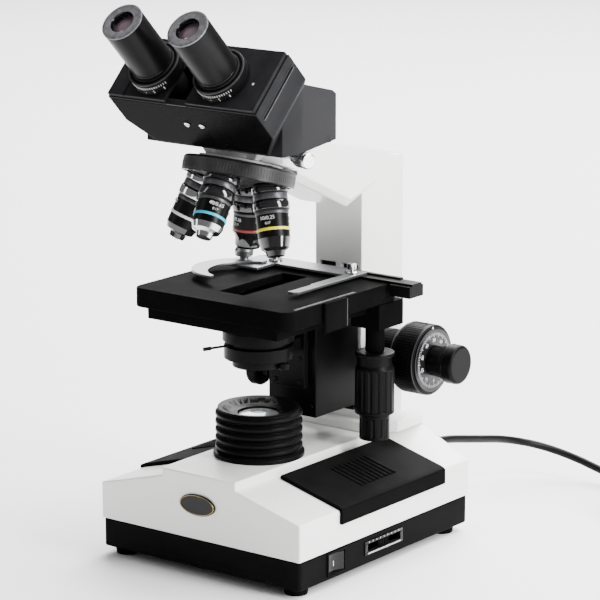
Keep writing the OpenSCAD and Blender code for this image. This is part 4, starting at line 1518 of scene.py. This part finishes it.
@dataclass(frozen=True)
class Head:
    """The inclined binocular head.

    Args:
        half: Half its width.
    """

    half: float = 65.0

    def trims(self, shop: Workshop) -> None:
        """Build the smooth front plate, the bright edge line and the screws."""
        plate = prism([(-64.2, -1.6), (64.2, -1.6), (64.2, -26.6), (48.6, -47.2),
                       (-48.6, -47.2), (-64.2, -26.6)], 0.0, 0.25, "front", 0.1, 1)
        # The plate's flat lies along the head's X and Z
        stand_up = HEAD @ turn(90, "X")
        screws = []
        for side in (-1, 1):
            for shape in shop.screw(2.3, 0.9):
                screws.append(shape.at(stand_up @ move(6.5 * side, -22, 0.35)))
        edge = block((-12.4, -0.35, -0.5), (4.4, 0.15, 0.1), "dial", 0.1, 1)
        edge_right = block((5.6, -0.1, 2.8), (63.4, 0.62, 3.42), "rim", 0.12, 1)
        shop.piece("Head front", "head", [plate.at(stand_up), *screws, edge.at(HEAD)])
        shop.piece("Right plate line", "right_tube", [edge_right.at(HEAD)])
        for side in (-1, 1):
            lines = [block((0, 3.0, -7.9), (0.35, 49.0, -7.4), "dial", 0.1, 1),
                     block((0, 3.0, -10.7), (0.3, 49.0, -10.3), "worn", 0.1, 1)]
            shift = HEAD @ (move(self.half, 0, 0) if side > 0 else MIRROR @ move(self.half, 0, 0))
            name = "right" if side > 0 else "left"
            shop.piece(f"End slot lines {name}", "head", lines, place=shift)
        dot = lathe([(0, 0), (0.9, 0), (0.9, 0.2), (0, 0.28)], "white", 20)
        shop.piece("Setting dot", "right_tube", [dot.at(HEAD @ move(52.5, 22, 3.3))])

    def lock(self, shop: Workshop) -> None:
        """Build the knurled grip of the head's lock screw."""
        place = move(0, AXIS_Y, 299) @ turn(-20, "Z") @ turn(90, "Y")
        ridge = block((-0.35, -0.28, 54.2), (0.3, 0.28, 63.4), "chrome", 0.12, 1)
        ribs = shop.repeat.around(ridge, 36, 5.5)
        cap = lathe([(0, 64.6), (4.2, 64.6), (4.0, 65.3), (3.4, 65.7), (0, 65.8)], "chrome", 40)
        shop.piece("Lock grip", "lock", [ribs.at(place), cap.at(place)])

    def build(self, shop: Workshop) -> None:
        """Finish the head, its tubes and its lock."""
        shop.dress_all({
            "head_mount": ("steel", 0.4), "head_body": ("texture", 0.7, 25),
            "prism_block": ("clear",), "head_lock": ("chrome", 0.2),
        })
        self.trims(shop)
        self.lock(shop)
        for side in (-1, 1):
            Eyepiece(side).build(shop)


def main() -> None:
    """Build every piece in order."""
    logging.basicConfig(level=logging.INFO, format="%(name)s: %(message)s")
    shop = Workshop()
    studio = Studio()
    studio.camera()
    MainsLead().build(shop)
    studio.lights()
    studio.floor(shop)
    for part in (Base(), Arm(), FocusDrive(), Stage(), Substage(), Nosepiece(), Head()):
        part.build(shop)


if __name__ == "__main__":
    main()
